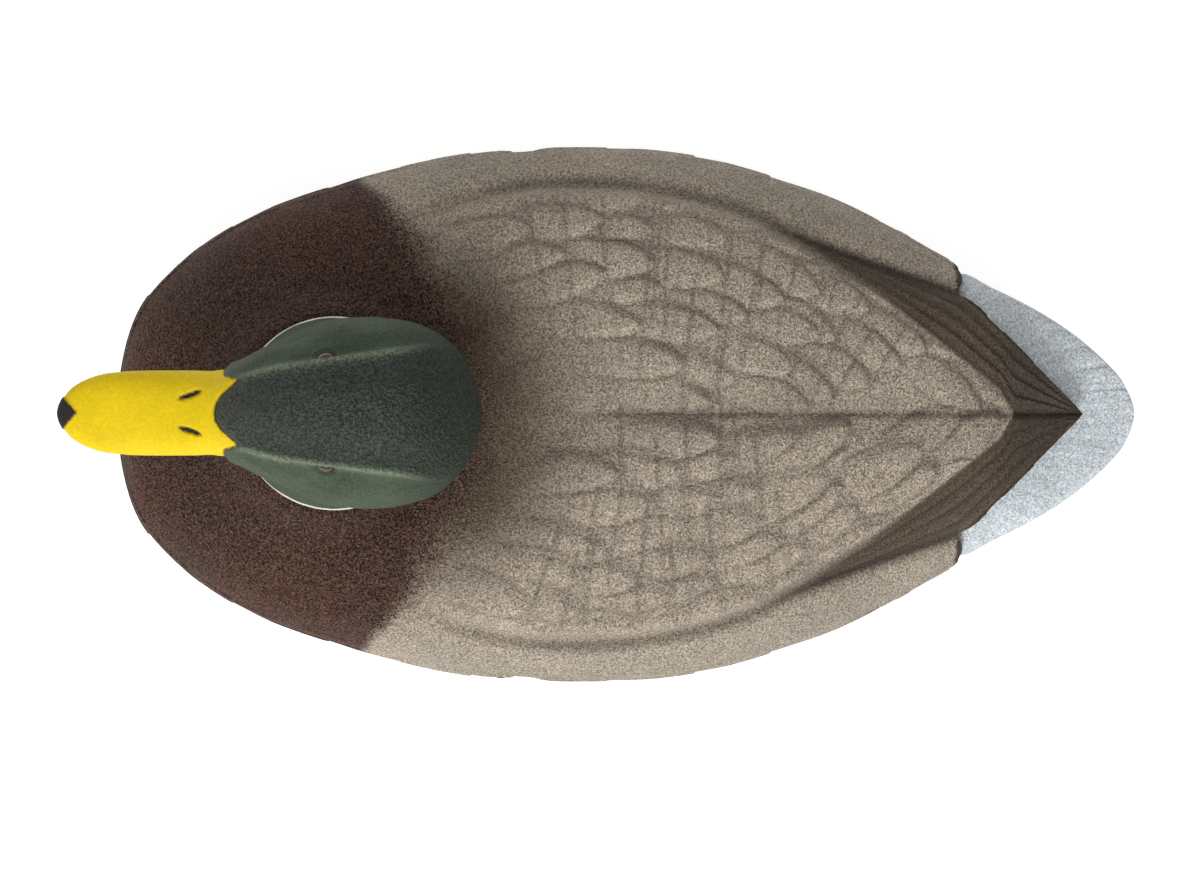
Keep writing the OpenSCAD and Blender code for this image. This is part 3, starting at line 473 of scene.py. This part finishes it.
CLASSES = {  # metallic, roughness, grain scale, bump in mm, colour variation, stretch of the grain
    "matte_plastic": (0.0, 0.55, 700.0, 0.05, 0.06, None),
    "gloss_plastic": (0.0, 0.18, 500.0, 0.01, 0.04, None),
    "rubber": (0.0, 0.75, 900.0, 0.04, 0.10, None),
    "brushed_steel": (1.0, 0.32, 420.0, 0.015, 0.07, (1.0, 8.0, 8.0)),
    "aluminium": (1.0, 0.38, 420.0, 0.015, 0.06, (8.0, 8.0, 1.0)),
    "brass": (1.0, 0.34, 500.0, 0.02, 0.08, None),
    "fabric": (0.0, 0.9, 1100.0, 0.15, 0.15, (1.0, 3.0, 1.0)),
}


def plain_material(name, kind, colour):
    """Wear, grain and roughness variation for a part that keeps its CAD shape."""
    metallic, roughness, grain, bump_mm, vary, stretch = CLASSES[kind]
    mat, tree, bsdf = new_material(name)
    fine = noise_node(tree, grain, 3.0, stretch)
    patch = noise_node(tree, 60.0, 4.0)
    shade = times(tree, ranged(tree, fine, 1 - vary, 1 + vary), ranged(tree, patch, 0.9, 1.08))
    rgb = add(tree, "ShaderNodeVectorMath", {0: tuple(colour)}, operation="SCALE")
    tree.links.new(shade, rgb.inputs["Scale"])
    tree.links.new(rgb.outputs[0], bsdf.inputs["Base Color"])
    tree.links.new(ranged(tree, patch, roughness - 0.08, roughness + 0.1), bsdf.inputs["Roughness"])
    bsdf.inputs["Metallic"].default_value = metallic
    bump = add(tree, "ShaderNodeBump", {"Height": fine, "Strength": 1.0, "Distance": bump_mm * MM})
    tree.links.new(bump.outputs[0], bsdf.inputs["Normal"])
    return mat


# ---------- the sculpted surface ----------

def v_edge(y):
    """Half width of the folded wings' crossed tips."""
    return V_SLOPE * (V_APEX_Y - y)


def groove_x(y):
    return lookup(y, GROOVE)


def polyline_distance(x, y, points):
    """Distance to a line through points given as y and x."""
    p = np.array(points, float)
    best = np.full(x.shape, 1e9)
    for (y0, x0), (y1, x1) in zip(p[:-1], p[1:]):
        t = np.clip(((x - x0) * (x1 - x0) + (y - y0) * (y1 - y0)) / ((x1 - x0) ** 2 + (y1 - y0) ** 2), 0, 1)
        best = np.minimum(best, np.hypot(x - x0 - t * (x1 - x0), y - y0 - t * (y1 - y0)))
    return best


GROOVE_FINE = spline([(y, x, 0) for y, x in GROOVE[:-1]], 4)[:, :2]


def mantle_half(y):
    """Half width of the area of small back feathers."""
    return np.minimum(groove_x(y) - 3, np.where(y < PRIMARIES[0][0], 200, lookup(y, PRIMARIES)))


def feather_layout():
    """Base points, directions and sizes of the small feathers, in columns that run along the wing's edge."""
    rng = np.random.default_rng(11)
    near, far = 8, 26    # behind its base a feather follows the edge between these distances
    out = []
    for side in (-1, 1):
        for column, inset in enumerate(np.arange(2.5, 80, FEATHER_W)):
            for y in np.arange(-78 + (column % 2) * FEATHER_STEP / 2, 150, FEATHER_STEP):
                y0 = y + rng.uniform(-3.5, 3.5)
                at = np.array([y0 + near, y0 + far])
                x_near, x_far = mantle_half(at) - inset + rng.uniform(-1.6, 1.6)
                size = rng.uniform(0.86, 1.16)
                lift = rng.uniform(0.7, 1.15)
                if x_far < 3.5 or y0 + near < lookup(x_near, CAPE):
                    continue
                turn = math.atan((x_far - x_near) / (far - near)) * 0.9 + rng.uniform(-0.1, 0.1)
                base = x_near - near * math.tan(turn)
                out.append((y0, side * base, side * turn, FEATHER_L * size, FEATHER_W * 0.62 * size, lift))
    return sorted(out, key=lambda f: 0.6 * f[1] - f[0])


FEATHERS = feather_layout()


def small_feathers(x, y):
    """Relief in mm and the mask of painted shade in the crevices of the overlapping back feathers."""
    relief, crevice_shade = np.zeros(x.shape), np.zeros(x.shape)
    wobble = noise(x, y, 0 * x, 9, 5) * 0.5
    for y0, x0, turn, length, half, lift in FEATHERS:
        near = (np.abs(y - y0 - length / 2) < length * 0.75) & (np.abs(x - x0) < half * 1.6 + 14)
        dx, dy = x[near] - x0, y[near] - y0
        a = dy * math.cos(turn) + dx * math.sin(turn)
        b = dx * math.cos(turn) - dy * math.sin(turn)
        widest = 0.5 * length
        reach = np.where(a > widest, (a - widest) / (length - widest), (widest - a) / (1.6 * widest))
        edge = half * np.sqrt(1 - np.clip(reach, 0, 1) ** 2) - np.abs(b) + wobble[near]
        edge = np.where(a > length, length - a, edge)
        inside = smoothstep(-0.4, 0.6, edge) * smoothstep(0, 9, a)
        dome = 1 - 0.25 * (b / half) ** 2
        height = 2.3 * lift * smoothstep(2, length * 0.9, a) * smoothstep(-0.4, 3.0, edge) * dome
        relief[near] = relief[near] * (1 - inside) + height * inside
        # painted shade along each feather's edge, strongest on the edges that face -x, away from the key
        # light
        line = bell(edge + 0.7, 1.0) * smoothstep(6, 20, a) * np.where(b < 0, 1.0 if x0 < 0 else 1.35, 0.65)
        crevice_shade[near] = np.maximum(crevice_shade[near] * (1 - inside), line * lift)
    return relief, crevice_shade


def wing_areas(x, y):
    """In plan: distances from the centre plane, inwards from the groove and behind the cape's edge, the
    groove's depth, and masks of the small feathers and the primaries."""
    ax = np.abs(x)
    distance = polyline_distance(ax, y, GROOVE_FINE)
    strength = smoothstep(-84, -52, y)
    signed = np.where((ax < groove_x(y)) & (y > GROOVE[0][0]), distance, -distance)
    cape = y - lookup(ax, CAPE)
    small = smoothstep(1, 10, cape) * smoothstep(0, 5, mantle_half(y) - ax)
    inner = np.where(y < PRIMARIES[-1][0], lookup(y, PRIMARIES), -5)
    soft = mix(5.0, 1.3, smoothstep(50, 125, y))
    long = smoothstep(48, 66, y) * smoothstep(-1, 1, (ax - inner) / soft)
    long = long * np.where(y > GROOVE_END_Y, 1, smoothstep(-1, 1, signed))
    return ax, signed, strength, cape, small, long


def primaries(ax, y):
    """Sawtooth relief and painted crevice shade of the long flight feathers, and the share of the way across
    them from the small feathers to the groove."""
    inner = np.where(y < PRIMARIES[-1][0], lookup(y, PRIMARIES), 0)
    outer = np.where(y < GROOVE_END_Y, groove_x(y), v_edge(y))
    q = np.clip((ax - inner) / np.maximum(outer - inner, 1.5), 0, 1)
    f = (q * PRIMARY_COUNT + 0.05 * noise(ax, y, 0 * y, 14, 9)) % 1.0
    relief = -0.55 + 0.8 * f
    # painted shade at the steps between the flight feathers
    crevice_shade = bell(f, 0.13) + bell(1 - f, 0.06)
    return relief, np.clip(crevice_shade, 0, 1), q


def back_relief(x, y):
    """Relief of the back in mm, with masks of its painted crevice shade, the groove and the centre line."""
    ax, signed, strength, cape, small, long = wing_areas(x, y)
    relief = 1.9 * strength * smoothstep(0, 11, signed) * smoothstep(-6, 14, cape)
    valley = bell(signed - 0.3, 2.6) * strength * smoothstep(150, 128, y)
    relief -= 2.0 * valley
    f_relief, feather_crevice_shade = small_feathers(x, y)
    relief += f_relief * small
    p_relief, primary_crevice_shade, _ = primaries(ax, y)
    relief += p_relief * long
    crevice_shade = feather_crevice_shade * small + 0.9 * primary_crevice_shade * long
    centre = bell(x, 1.4) * smoothstep(-12, 14, y)
    relief -= 1.1 * centre + 1.9 * bell(x, 10) * smoothstep(-14, 20, y) * smoothstep(150, 100, y)
    ripple = noise(x * 0.6 + y * 0.35, y * 0.4 - ax * 0.5, 0 * x, 7, 21)
    around = smoothstep(-30, -6, cape) * smoothstep(26, 4, cape) * smoothstep(84, 60, ax)
    relief += 1.1 * ripple * around
    # painted shade in the troughs of the ripples round the cape
    crevice_shade = np.maximum(crevice_shade, 0.35 * np.clip(-ripple, 0, 1) * around)
    relief += 0.12 * noise(x, y, 0 * x, 6, 2) + 0.08 * noise(x, y, 0 * x, 2.4, 3)
    return relief, np.clip(crevice_shade, 0, 1), valley, centre


def flank_relief(y, z):
    """Relief and edge mask of the long, low side feathers."""
    row = z / FLANK_ROW + 0.5 * np.sin(y / 31)
    shift = (np.floor(row) % 2) * 0.5 + 0.15 * noise(y, z, 0 * y, 20, 31)
    cell = y / FLANK_L + shift
    u, v = cell % 1.0, row % 1.0
    edge = bell((v - 0.16 * np.sin(math.pi * u)) * FLANK_ROW - 0.6, 1.1) * smoothstep(0.1, 0.4, u)
    return 0.5 * v * smoothstep(0.0, 0.5, u) - 0.35 * edge, edge


# ---------- paint ----------

BREAST = srgb(74, 51, 40)
BREAST_RED = srgb(92, 52, 36)
CAPE_DARK = srgb(72, 59, 46)
BACK_TAUPE = srgb(155, 143, 128)
FLANK = srgb(148, 138, 124)
PRIMARY = srgb(72, 60, 49)
TIP = srgb(62, 55, 47)
TAIL_BLUE = srgb(186, 192, 196)
UNDERTAIL = srgb(30, 28, 28)
BELLY_GREY = srgb(140, 132, 121)
GREEN = srgb(55, 68, 50)
CROWN = srgb(50, 54, 48)
NAPE = srgb(30, 39, 28)
RIDGE_HIGHLIGHT = srgb(106, 116, 96)
YELLOW = srgb(214, 184, 0)
NAIL = srgb(36, 34, 31)
RING = srgb(208, 206, 202)


# Each paint function gives the colour, how glossy it is and how strong the grain is.

def back_paint(co):
    x, y, z = co.T
    _, crevice_shade, valley, centre = back_relief(x, y)
    ax, signed, _, _, _, long = wing_areas(x, y)
    side = smoothstep(0, 10, -signed) * smoothstep(-80, -60, y)
    c = tint(BACK_TAUPE, FLANK, side)
    rubbed = 1 + 0.05 * noise(x, y, z, 26, 41) + 0.05 * noise(x, y * 0.4, z, 7, 42)
    c = c * rubbed[:, None]
    _, _, across = primaries(ax, y)
    # painted light across each flight feather: darker on its low inner side, lighter towards its raised outer
    # edge
    shade = 0.72 + 0.6 * ((across * PRIMARY_COUNT) % 1.0)
    c = tint(c, PRIMARY * shade[:, None], long * smoothstep(50, 84, y) * 0.95)
    c = tint(c, TIP, long * smoothstep(140, 160, y) * 0.8)
    behind = y - lookup(ax, BROWN)
    c = tint(c, CAPE_DARK, 0.95 * smoothstep(62, 6, behind) * smoothstep(85, 28, ax))
    # painted shade along the groove round each wing
    c = tint(c, c * 0.5, 0.95 * valley * smoothstep(-80, -20, y))
    # painted shade in the crevices between the feathers
    c = tint(c, c * 0.52, 0.75 * crevice_shade)
    # painted shade in the centre line between the wings, and a broad painted shade along the middle of the
    # back
    c = tint(c, c * 0.5, centre * 0.75)
    c = tint(c, c * 0.8, 0.8 * bell(x, 12) * smoothstep(-14, 10, y) * (1 - long))
    soft = mix(15.0, 3.0, smoothstep(35, 95, ax))
    brown = smoothstep(1, -1, (behind + 2.2 * noise(x, y, z, 11, 43)) / soft)
    red = smoothstep(40, 78, ax) * smoothstep(-70, -110, y) * (0.6 + 0.4 * noise(x, y, z, 24, 44))
    breast = tint(BREAST, BREAST_RED, np.clip(0.75 * red + 0.45 * smoothstep(-150, -176, y), 0, 1))
    c = tint(c, breast, brown)
    return c, 0.08 + 0.1 * brown, mix(mix(1.0, 0.8, long), 2.2, brown)


def belly_paint(co):
    x, y, z = co.T
    _, edge = flank_relief(y, z)
    c = tint(BELLY_GREY, FLANK, smoothstep(12, 50, z))
    # painted shade in the grooves along the side feathers' edges
    c = tint(c, c * 0.72, 0.5 * edge * smoothstep(4, 14, z))
    c = tint(c, UNDERTAIL, smoothstep(104, 124, y + 0.35 * (z - 30) + 3 * noise(x, y, z, 14, 51)))
    brown = smoothstep(3, -3, y - BROWN[-1][1] + 3 * noise(x, y, z, 11, 52))
    c = tint(c, BREAST, brown)
    return c * (1 + 0.05 * noise(x, y, z, 18, 53))[:, None], 0.08 + 0.1 * brown, mix(1.0, 2.2, brown)


def fan_angle(x, y):
    """Direction from the point that the tail feathers spread from, in degrees."""
    return np.degrees(np.arctan2(x, y - FAN_Y))


def tail_edge(y):
    """Height of the tail's edge."""
    curve = spline(TAIL, round_last=True)
    return np.interp(y, curve[:, 0], curve[:, 3])


def tail_paint(co):
    x, y, z = co.T
    angle = fan_angle(x, y)
    streak = 0.10 * noise(angle * 4, y * 0.12, 0 * x, 2.2, 61)
    streak += 0.04 * noise(angle * 4, y * 0.05, 0 * x, 5, 62)
    c = TAIL_BLUE * (1 + streak)[:, None]
    low = smoothstep(1.2, -1.5, z - (tail_edge(y) - 0.8))
    return tint(c, UNDERTAIL, low), 0.12, 0.65


def bill_line(ax, z):
    """The y at which the bill meets the head."""
    return mix(BILL_FOOT_Y, lookup(ax, BILL_LINE), smoothstep(133, 140, z))


def past_nail(ax, y):
    """Distance behind the nail's pointed rear edge."""
    return y - (NAIL_Y - NAIL_SLOPE * ax)


def nostril_mask(x, y):
    """Two slits that open outwards to the head."""
    behind = y - NOSTRIL_Y
    across = np.abs(x) - (NOSTRIL_X + NOSTRIL_SLOPE * behind)
    return smoothstep(1.15, 0.75, np.hypot(behind / NOSTRIL_L, across / NOSTRIL_W))


def head_paint(co):
    x, y, z = co.T
    ax = np.abs(x)
    brow = lookup(y, BROW)
    line = bill_line(ax, z) + 0.2 * noise(x, y, z, 3, 71)
    crown = smoothstep(3.5, -3.5, ax - brow + 0.5) * smoothstep(140, 150, z)
    c = tint(tint(GREEN, CROWN, crown * 0.95), NAPE, 0.85 * smoothstep(-80, -50, y))
    # painted highlight along each brow ridge
    ridge_highlight = bell(ax - brow - 0.4, 1.1) * smoothstep(148, 158, z)
    c = tint(c, RIDGE_HIGHLIGHT, 0.75 * ridge_highlight * smoothstep(-130, -120, y) * smoothstep(-56, -72, y))
    c = c * (1 + 0.08 * noise(x, y, z, 12, 72))[:, None]
    ring = smoothstep(0.4, -0.4, z - RING_TOP_Z - 0.8 * noise(x, y, z, 8, 73)) * smoothstep(-70, -78, y)
    c = tint(c, RING, ring)
    bill = smoothstep(0.5, -0.5, y - line)
    c = tint(c, c * 0.25, bell(y - line, 0.8))
    nail = smoothstep(0.4, -0.4, past_nail(ax, y)) * (ax < NAIL_HALF) * smoothstep(127.0, 128.2, z)
    yellow = YELLOW * (1 + 0.05 * noise(x, y, z, 9, 74))[:, None]
    # painted shade along the lower edge of the bill
    yellow = tint(yellow, yellow * 0.6, smoothstep(129.6, 127.4, z) * 0.6)
    nostril = nostril_mask(x, y) * (z > 134)
    yellow = tint(yellow, NAIL, np.maximum(nail, nostril))
    grain = mix(mix(mix(0.55, 1.3, crown), 0.1, ring), 0.18, bill)
    return tint(c, yellow, bill), np.where(bill > 0.5, 0.2, np.where(ring > 0.5, 0.15, 0.3)), grain


# ---------- hull ----------

def rear_edge(c, half_at):
    """Where one lengthwise line of the back ends: at the wing tips' edge, or beside them at the rear edge."""
    if c * half_at(V_NOTCH_Y) > V_NOTCH_X:
        over = (c * half_at(GROOVE_END_Y) - V_NOTCH_X) / (half_at(GROOVE_END_Y) - V_NOTCH_X)
        return REAR_Y + REAR_BULGE * math.sin(math.pi * min(1, over)) ** 0.6
    low, high = 120.0, V_APEX_Y
    for _ in range(40):
        mid = (low + high) / 2
        low, high = (mid, high) if c * half_at(mid) < v_edge(mid) else (low, mid)
    return low


def body_grid(stations, power, rim, grid):
    """Points of one half of the hull: rows along it, columns from its left rim over to its right."""
    rows, cols = grid
    is_back = stations is BACK
    curve = spline(stations, round_first=True, round_last=not is_back)
    cx, cz = arc(power, even_arc(power, 95, 52, cols))    # spaced for a section of about the hull's size

    def half_at(y):
        return np.interp(y, curve[:, 0], curve[:, 1])

    spaced = curve[curve[:, 0] <= BACK_END_Y + 1e-6] if is_back else curve
    base = even_rows(spaced, rows)[:, 0]
    share = (base - base[0]) / (base[-1] - base[0])
    first = stations[0][0]
    end = np.full(cols, float(stations[-1][0]))
    if is_back:
        end = np.array([rear_edge(c, half_at) for c in np.abs(cx)])
    y = first + share[:, None] * (end[None, :] - first)
    half = np.maximum(half_at(y), LEAST)
    height = np.interp(y, curve[:, 0], curve[:, 2]) - rim
    height = np.where(np.abs(height) < LEAST, LEAST if is_back else -LEAST, height)
    return np.stack([half * cx[None, :], y, rim + height * cz[None, :]], axis=2)


def wing_cup(upper):
    """Half of the cup behind a wing hub, on both sides."""
    sign = 1 if upper else -1
    profile = [(CUP_BACK, CUP_HOLE_R), (CUP_FLOOR, CUP_HOLE_R), (CUP_FLOOR, CUP_R), (CUP_MOUTH, CUP_R),
               (CUP_MOUTH, CUP_OUTER_R), (CUP_BACK, CUP_OUTER_R)]
    start = math.asin(RIM_GAP / CUP_OUTER_R)
    parts = []
    for side in (-1, 1):
        rings = [[(side * x, CUP_Y + r * math.cos(t), SEAM_Z + sign * max(r * math.sin(t), RIM_GAP))
                  for x, r in profile] for t in np.linspace(start, math.pi - start, 49)]
        parts.append(ring_object("cup", np.array(rings)))
    return parts


def pocket_tools():
    """The insides of both hub cups, out to beyond the skin."""
    return [cylinder(0, CUP_R, side * CUP_FLOOR, side * CUP_END, (SHAFT_Y, SEAM_Z)) for side in (-1, 1)]


def build_back():
    rim = SEAM_Z + RIM_GAP
    p = body_grid(BACK, BACK_POWER, rim, BACK_GRID)
    around = np.hypot(p[..., 0], p[..., 1] - NECK_Y)
    collar = NECK_Z - 0.05 - 0.02 * around - 9 * smoothstep(COLLAR_R, 50, around)
    raised = np.maximum(p[..., 2], mix(p[..., 2], collar, smoothstep(COLLAR_END_R, 44, around)))
    p[..., 2] = np.where(around < COLLAR_END_R, raised, p[..., 2])
    p[..., 2] = np.where(around < COLLAR_R + 1, NECK_Z - 0.1, p[..., 2])
    n = grid_normals(p)
    relief, *_ = back_relief(p[..., 0], p[..., 1])
    side, _ = flank_relief(p[..., 1], p[..., 2])
    relief = mix(relief, side, smoothstep(0.55, 0.25, n[..., 2]))
    relief *= smoothstep(0, 3, p[..., 2] - rim) * smoothstep(COLLAR_R, 42, around)
    back = shell_object("back_body", p + relief[..., None] * n, n)
    boolean(back, [cylinder(2, NECK_BORE_R, 90, 125, (0, NECK_Y))] + pocket_tools())
    return join(back, wing_cup(upper=True))


def fit_belly(obj):
    """Adds the door frame and the switch well, and opens the holes in which the CAD parts sit."""
    low, high = [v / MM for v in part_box("battery_door")]
    below = -5    # tools for holes in the base start here
    door_frame = prism(rounded(-58.5, 58.5, 12, 91, (4, 4, 18, 18)), 0.6, 7.0)
    well_walls = prism(rounded(-35, 35, -119, -81, (4, 4, 4, 4)), 0.6, 10.0)
    boolean(obj, [door_frame, well_walls], "UNION")
    door_seat = rounded(low.x - 0.5, high.x + 0.5, 18.7, high.y + 0.5, (2, 2, 16, 16))
    battery_bay = rounded(-51.5, 51.5, 24.9, 75.2, (3, 3, 3, 3))
    latch_notch = rounded(-6, 13.5, 74, 84)
    well = rounded(-32, 32, -116, -84, (3, 3, 3, 3))
    switch_hole = rounded(-24.7, -3.3, -107.7, -92.3)
    tools = [prism(door_seat, below, 4.0), prism(battery_bay, 3, 12), prism(latch_notch, 3, 12),
             prism(well, below, 7.0), prism(switch_hole, 6, 14)]
    jack_hole = cylinder(2, 6.0, 6, 14, (14, -100))
    stake_hole = cylinder(2, 7.5, below, 12, (0, 0))
    tools += [jack_hole, stake_hole]
    for side in (-1, 1):
        tools.append(prism(rounded(side * 35 - 9, side * 35 + 9, 15.1, 21), below, 5.6))    # hinge pocket
    for side in (-1, 1):
        tools += [cylinder(2, SCREW_HEAD_R, below, 45, (side * x, y), 32) for x, y in SHELL_SCREWS]
    boolean(obj, tools)
    hinge_posts = [cylinder(0, 2.5, side * a, side * b, (18.6, 2.6), 40)
                   for side in (-1, 1) for a, b in ((19.5, 26), (44, 50))]
    boolean(obj, hinge_posts, "UNION")


def build_belly():
    rim = SEAM_Z - RIM_GAP
    p = body_grid(BELLY, BELLY_POWER, rim, BELLY_GRID)
    z = p[..., 2]
    p[..., 2] = 0.5 * (z + np.sqrt(z * z + 1.2))    # flattens what lies below the base
    n = -grid_normals(p)
    relief, _ = flank_relief(p[..., 1], p[..., 2])
    relief = relief * smoothstep(2, 12, p[..., 2]) * smoothstep(0, 3, rim - p[..., 2])
    relief += 0.12 * noise(p[..., 0], p[..., 1], p[..., 2], 6, 4) * smoothstep(0.5, 6, p[..., 2])
    belly = shell_object("belly_body", p + relief[..., None] * n, n)
    boolean(belly, pocket_tools())
    fit_belly(belly)
    return join(belly, wing_cup(upper=False))


# ---------- tail and head ----------

def build_tail():
    curve = even_rows(spline(TAIL, round_last=True), 151)
    t = np.linspace(0, math.pi, 141)
    c, s = np.cos(t), np.sin(t).clip(0)
    y, half, top, edge, under = [v[:, None] for v in curve.T]
    x = np.maximum(half, 0.6) * c
    angle = fan_angle(x, y)
    feather = (np.abs(angle) / FAN_STEP) % 1.0
    ruffle = 0.12 * noise(angle * 4, y * 0.1 + 0 * x, 0 * x, 2.2, 63)
    up = edge + (top - edge) * s**0.7 + (0.45 * feather + ruffle) * smoothstep(0.0, 0.25, s)
    down = edge - (edge - under) * s**0.6
    upper, lower = [np.stack([x, y + 0 * x, z], axis=2) for z in (up, down)]
    return ring_object("tail_feathers", np.concatenate([upper, lower[:, -2:0:-1]], axis=1))


def head_form():
    """The plain shapes of the head with its bill and of the neck, joined under one even skin."""
    curve = even_rows(spline(HEAD, round_first=True, round_last=True), 150)
    y, half, top, bottom, wide = [v[:, None] for v in curve.T]
    half = np.maximum(half, 0.5)
    t = np.linspace(0, 2 * math.pi, 120, endpoint=False)[None, :]
    power = mix(2.05, 2.3, smoothstep(-128, -140, y))
    c, s = np.cos(t), np.sin(t)
    x = half * np.sign(c) * np.abs(c) ** (2 / power)
    rise = np.abs(s) ** (2 / power)
    z = np.where(s > 0, wide + (top - wide) * rise, wide - (wide - bottom) * rise)
    head = ring_object("head_and_bill", np.stack([x, y + 0 * x, z], axis=2))
    a = np.linspace(0, 2 * math.pi, 96, endpoint=False)
    rings = [[(max(r, 0.5) * math.cos(v), NECK_Y + max(r, 0.5) * math.sin(v), level) for v in a]
             for level, r in NECK]
    join(head, [ring_object("neck", np.array(rings))])
    m = head.modifiers.new("skin", "REMESH")
    m.mode, m.voxel_size = "VOXEL", (0.00075)
    m = head.modifiers.new("soft", "SMOOTH")
    m.factor, m.iterations = 0.5, (10)
    return bake(head)


def build_head():
    head = head_form()
    co, n = coordinates(head), normals_of(head)
    x, y, z = co.T
    ax = np.abs(x)
    brow = lookup(y, BROW)
    crown = smoothstep(150, 158, z) * smoothstep(-134, -122, y) * smoothstep(-52, -68, y)
    below = smoothstep(brow + 0.3, brow + 2.4, ax)
    # brow ridges, the hollows beside them and the flat over the eyes
    d = crown * (1.0 * bell(ax - brow, 1.7) - 0.8 * bell(ax - brow * 0.72, 5))
    d -= 1.3 * crown * below * smoothstep(brow + 9, brow + 4, ax)
    d -= 4.6 * below * smoothstep(33, 25, ax) * bell(y - EYE[1], 12) * smoothstep(146, 154, z)
    # the step between bill and feathers, nostrils, nail and the line between the bill's halves
    line, high = bill_line(ax, z), smoothstep(128, 137, z)
    d -= 0.5 * bell(y - line, 1.2) * high
    d += 0.5 * smoothstep(0, 3, y - line) * smoothstep(8, 3, y - line) * high
    d -= 1.2 * nostril_mask(x, y) * (z > 134)
    d += 0.6 * smoothstep(0.6, -0.6, past_nail(ax, y)) * (ax < NAIL_HALF) * smoothstep(127.5, 129, z)
    d -= 0.45 * bell(z - 128.4 - 0.02 * (y + 190), 0.8) * smoothstep(-134, -140, y)
    # a lid round each eye
    moved = np.stack([ax + n[:, 0] * np.sign(x) * d, y + n[:, 1] * d, z + n[:, 2] * d], axis=1)
    to_eye = np.linalg.norm(moved - EYE, axis=1)
    d += 0.7 * bell(to_eye - EYE_R - 1.0, 0.7) * (ax > brow + 1)
    lumps = 0.10 * noise(x, y, z, 2.6, 81) + 0.16 * noise(x, y, z, 5, 82)
    d += lumps * smoothstep(-128, -120, y) * smoothstep(118, 124, z)
    set_coordinates(head, co + n * (d * smoothstep(115, 119, z))[:, None])
    return head


# ---------- the pieces ----------

flock = flock_material("flocked_paint", grain=1350.0, contrast=0.5, bump_mm=0.9)
head_coat = flock_material("head_paint", grain=1000.0, contrast=0.4, bump_mm=1.0)
PIECES = [  # how it is built and painted, its material, its body, the CAD node it replaces, crease angle
    (build_back, back_paint, flock, "housing", "back_shell", 40),
    (build_belly, belly_paint, flock, "housing", "belly_shell", 40),
    (build_tail, tail_paint, flock, "housing", "tail_fan", 60),
    (build_head, head_paint, head_coat, "head", "head", 60),
]
for build, painter, material, body, node_name, crease in PIECES:
    piece = build()
    paint(piece, *painter(coordinates(piece)))
    finish_piece(piece, material, body, node_name, crease)


# ---------- parts that keep their CAD shape ----------

entries = {m["slot"]: m for m in frame["record"]["materials"]}
slot_of = {s["node"]: s["material_slot"] for s in frame["record"]["subparts"]}
for name, node in frame["nodes"].items():
    entry = entries[slot_of[name]]
    node.data.materials.clear()
    node.data.materials.append(plain_material(name + "_finish", entry["class"], entry["base_color"][:3]))

# ---------- stage ----------

FLOOR_HALF, FLOOR_Z = 3000, -1
corners = [(x * FLOOR_HALF, y * FLOOR_HALF, FLOOR_Z) for x, y in ((-1, -1), (1, -1), (1, 1), (-1, 1))]
floor = make_object("floor", corners, [[0, 1, 2, 3]])
paper, _, bsdf = new_material("floor_paper")
bsdf.inputs["Base Color"].default_value = (0.5, 0.5, 0.5, 1)
bsdf.inputs["Roughness"].default_value = 0.9
bsdf.inputs["Emission Color"].default_value = (1, 1, 1, 1)
bsdf.inputs["Emission Strength"].default_value = 0.75
floor.data.materials.append(paper)


def area_light(name, place, target, size, watts):
    """A round white light; places and size in metres."""
    data = bpy.data.lights.new(name, "AREA")
    data.shape, data.size, data.energy = "DISK", size, watts
    light = bpy.data.objects.new(name, data)
    bpy.context.scene.collection.objects.link(light)
    light.location = place
    light.rotation_euler = (Vector(target) - Vector(place)).to_track_quat("-Z", "Y").to_euler()


area_light("key", place=(1.6, -0.3, 1.3), target=(0, 0, 0.05), size=0.9, watts=33)
area_light("top", place=(0.1, 0.0, 2.2), target=(0, 0, 0), size=2.2, watts=12)
world = bpy.context.scene.world or bpy.data.worlds.new("studio")
bpy.context.scene.world = world
world.use_nodes = True
world.node_tree.nodes["Background"].inputs["Color"].default_value = (1, 1, 1, 1)
world.node_tree.nodes["Background"].inputs["Strength"].default_value = 0.5

# The camera looks straight down from WAIST_DISTANCE above the seam, where the picture is SPAN wide.
VIEW_X, WAIST_DISTANCE, SPAN = 8.75, 1250.0, 456.6
SENSOR = 36
cam_data = bpy.data.cameras.new("camera")
cam_data.sensor_width = SENSOR
cam_data.lens = SENSOR * WAIST_DISTANCE / SPAN
camera = bpy.data.objects.new("camera", cam_data)
bpy.context.scene.collection.objects.link(camera)
camera.location = (VIEW_X * MM, 0, (SEAM_Z + WAIST_DISTANCE) * MM)
camera.rotation_euler = (0, 0, math.radians(90))
bpy.context.scene.camera = camera
bpy.context.scene.view_settings.view_transform = "Standard"
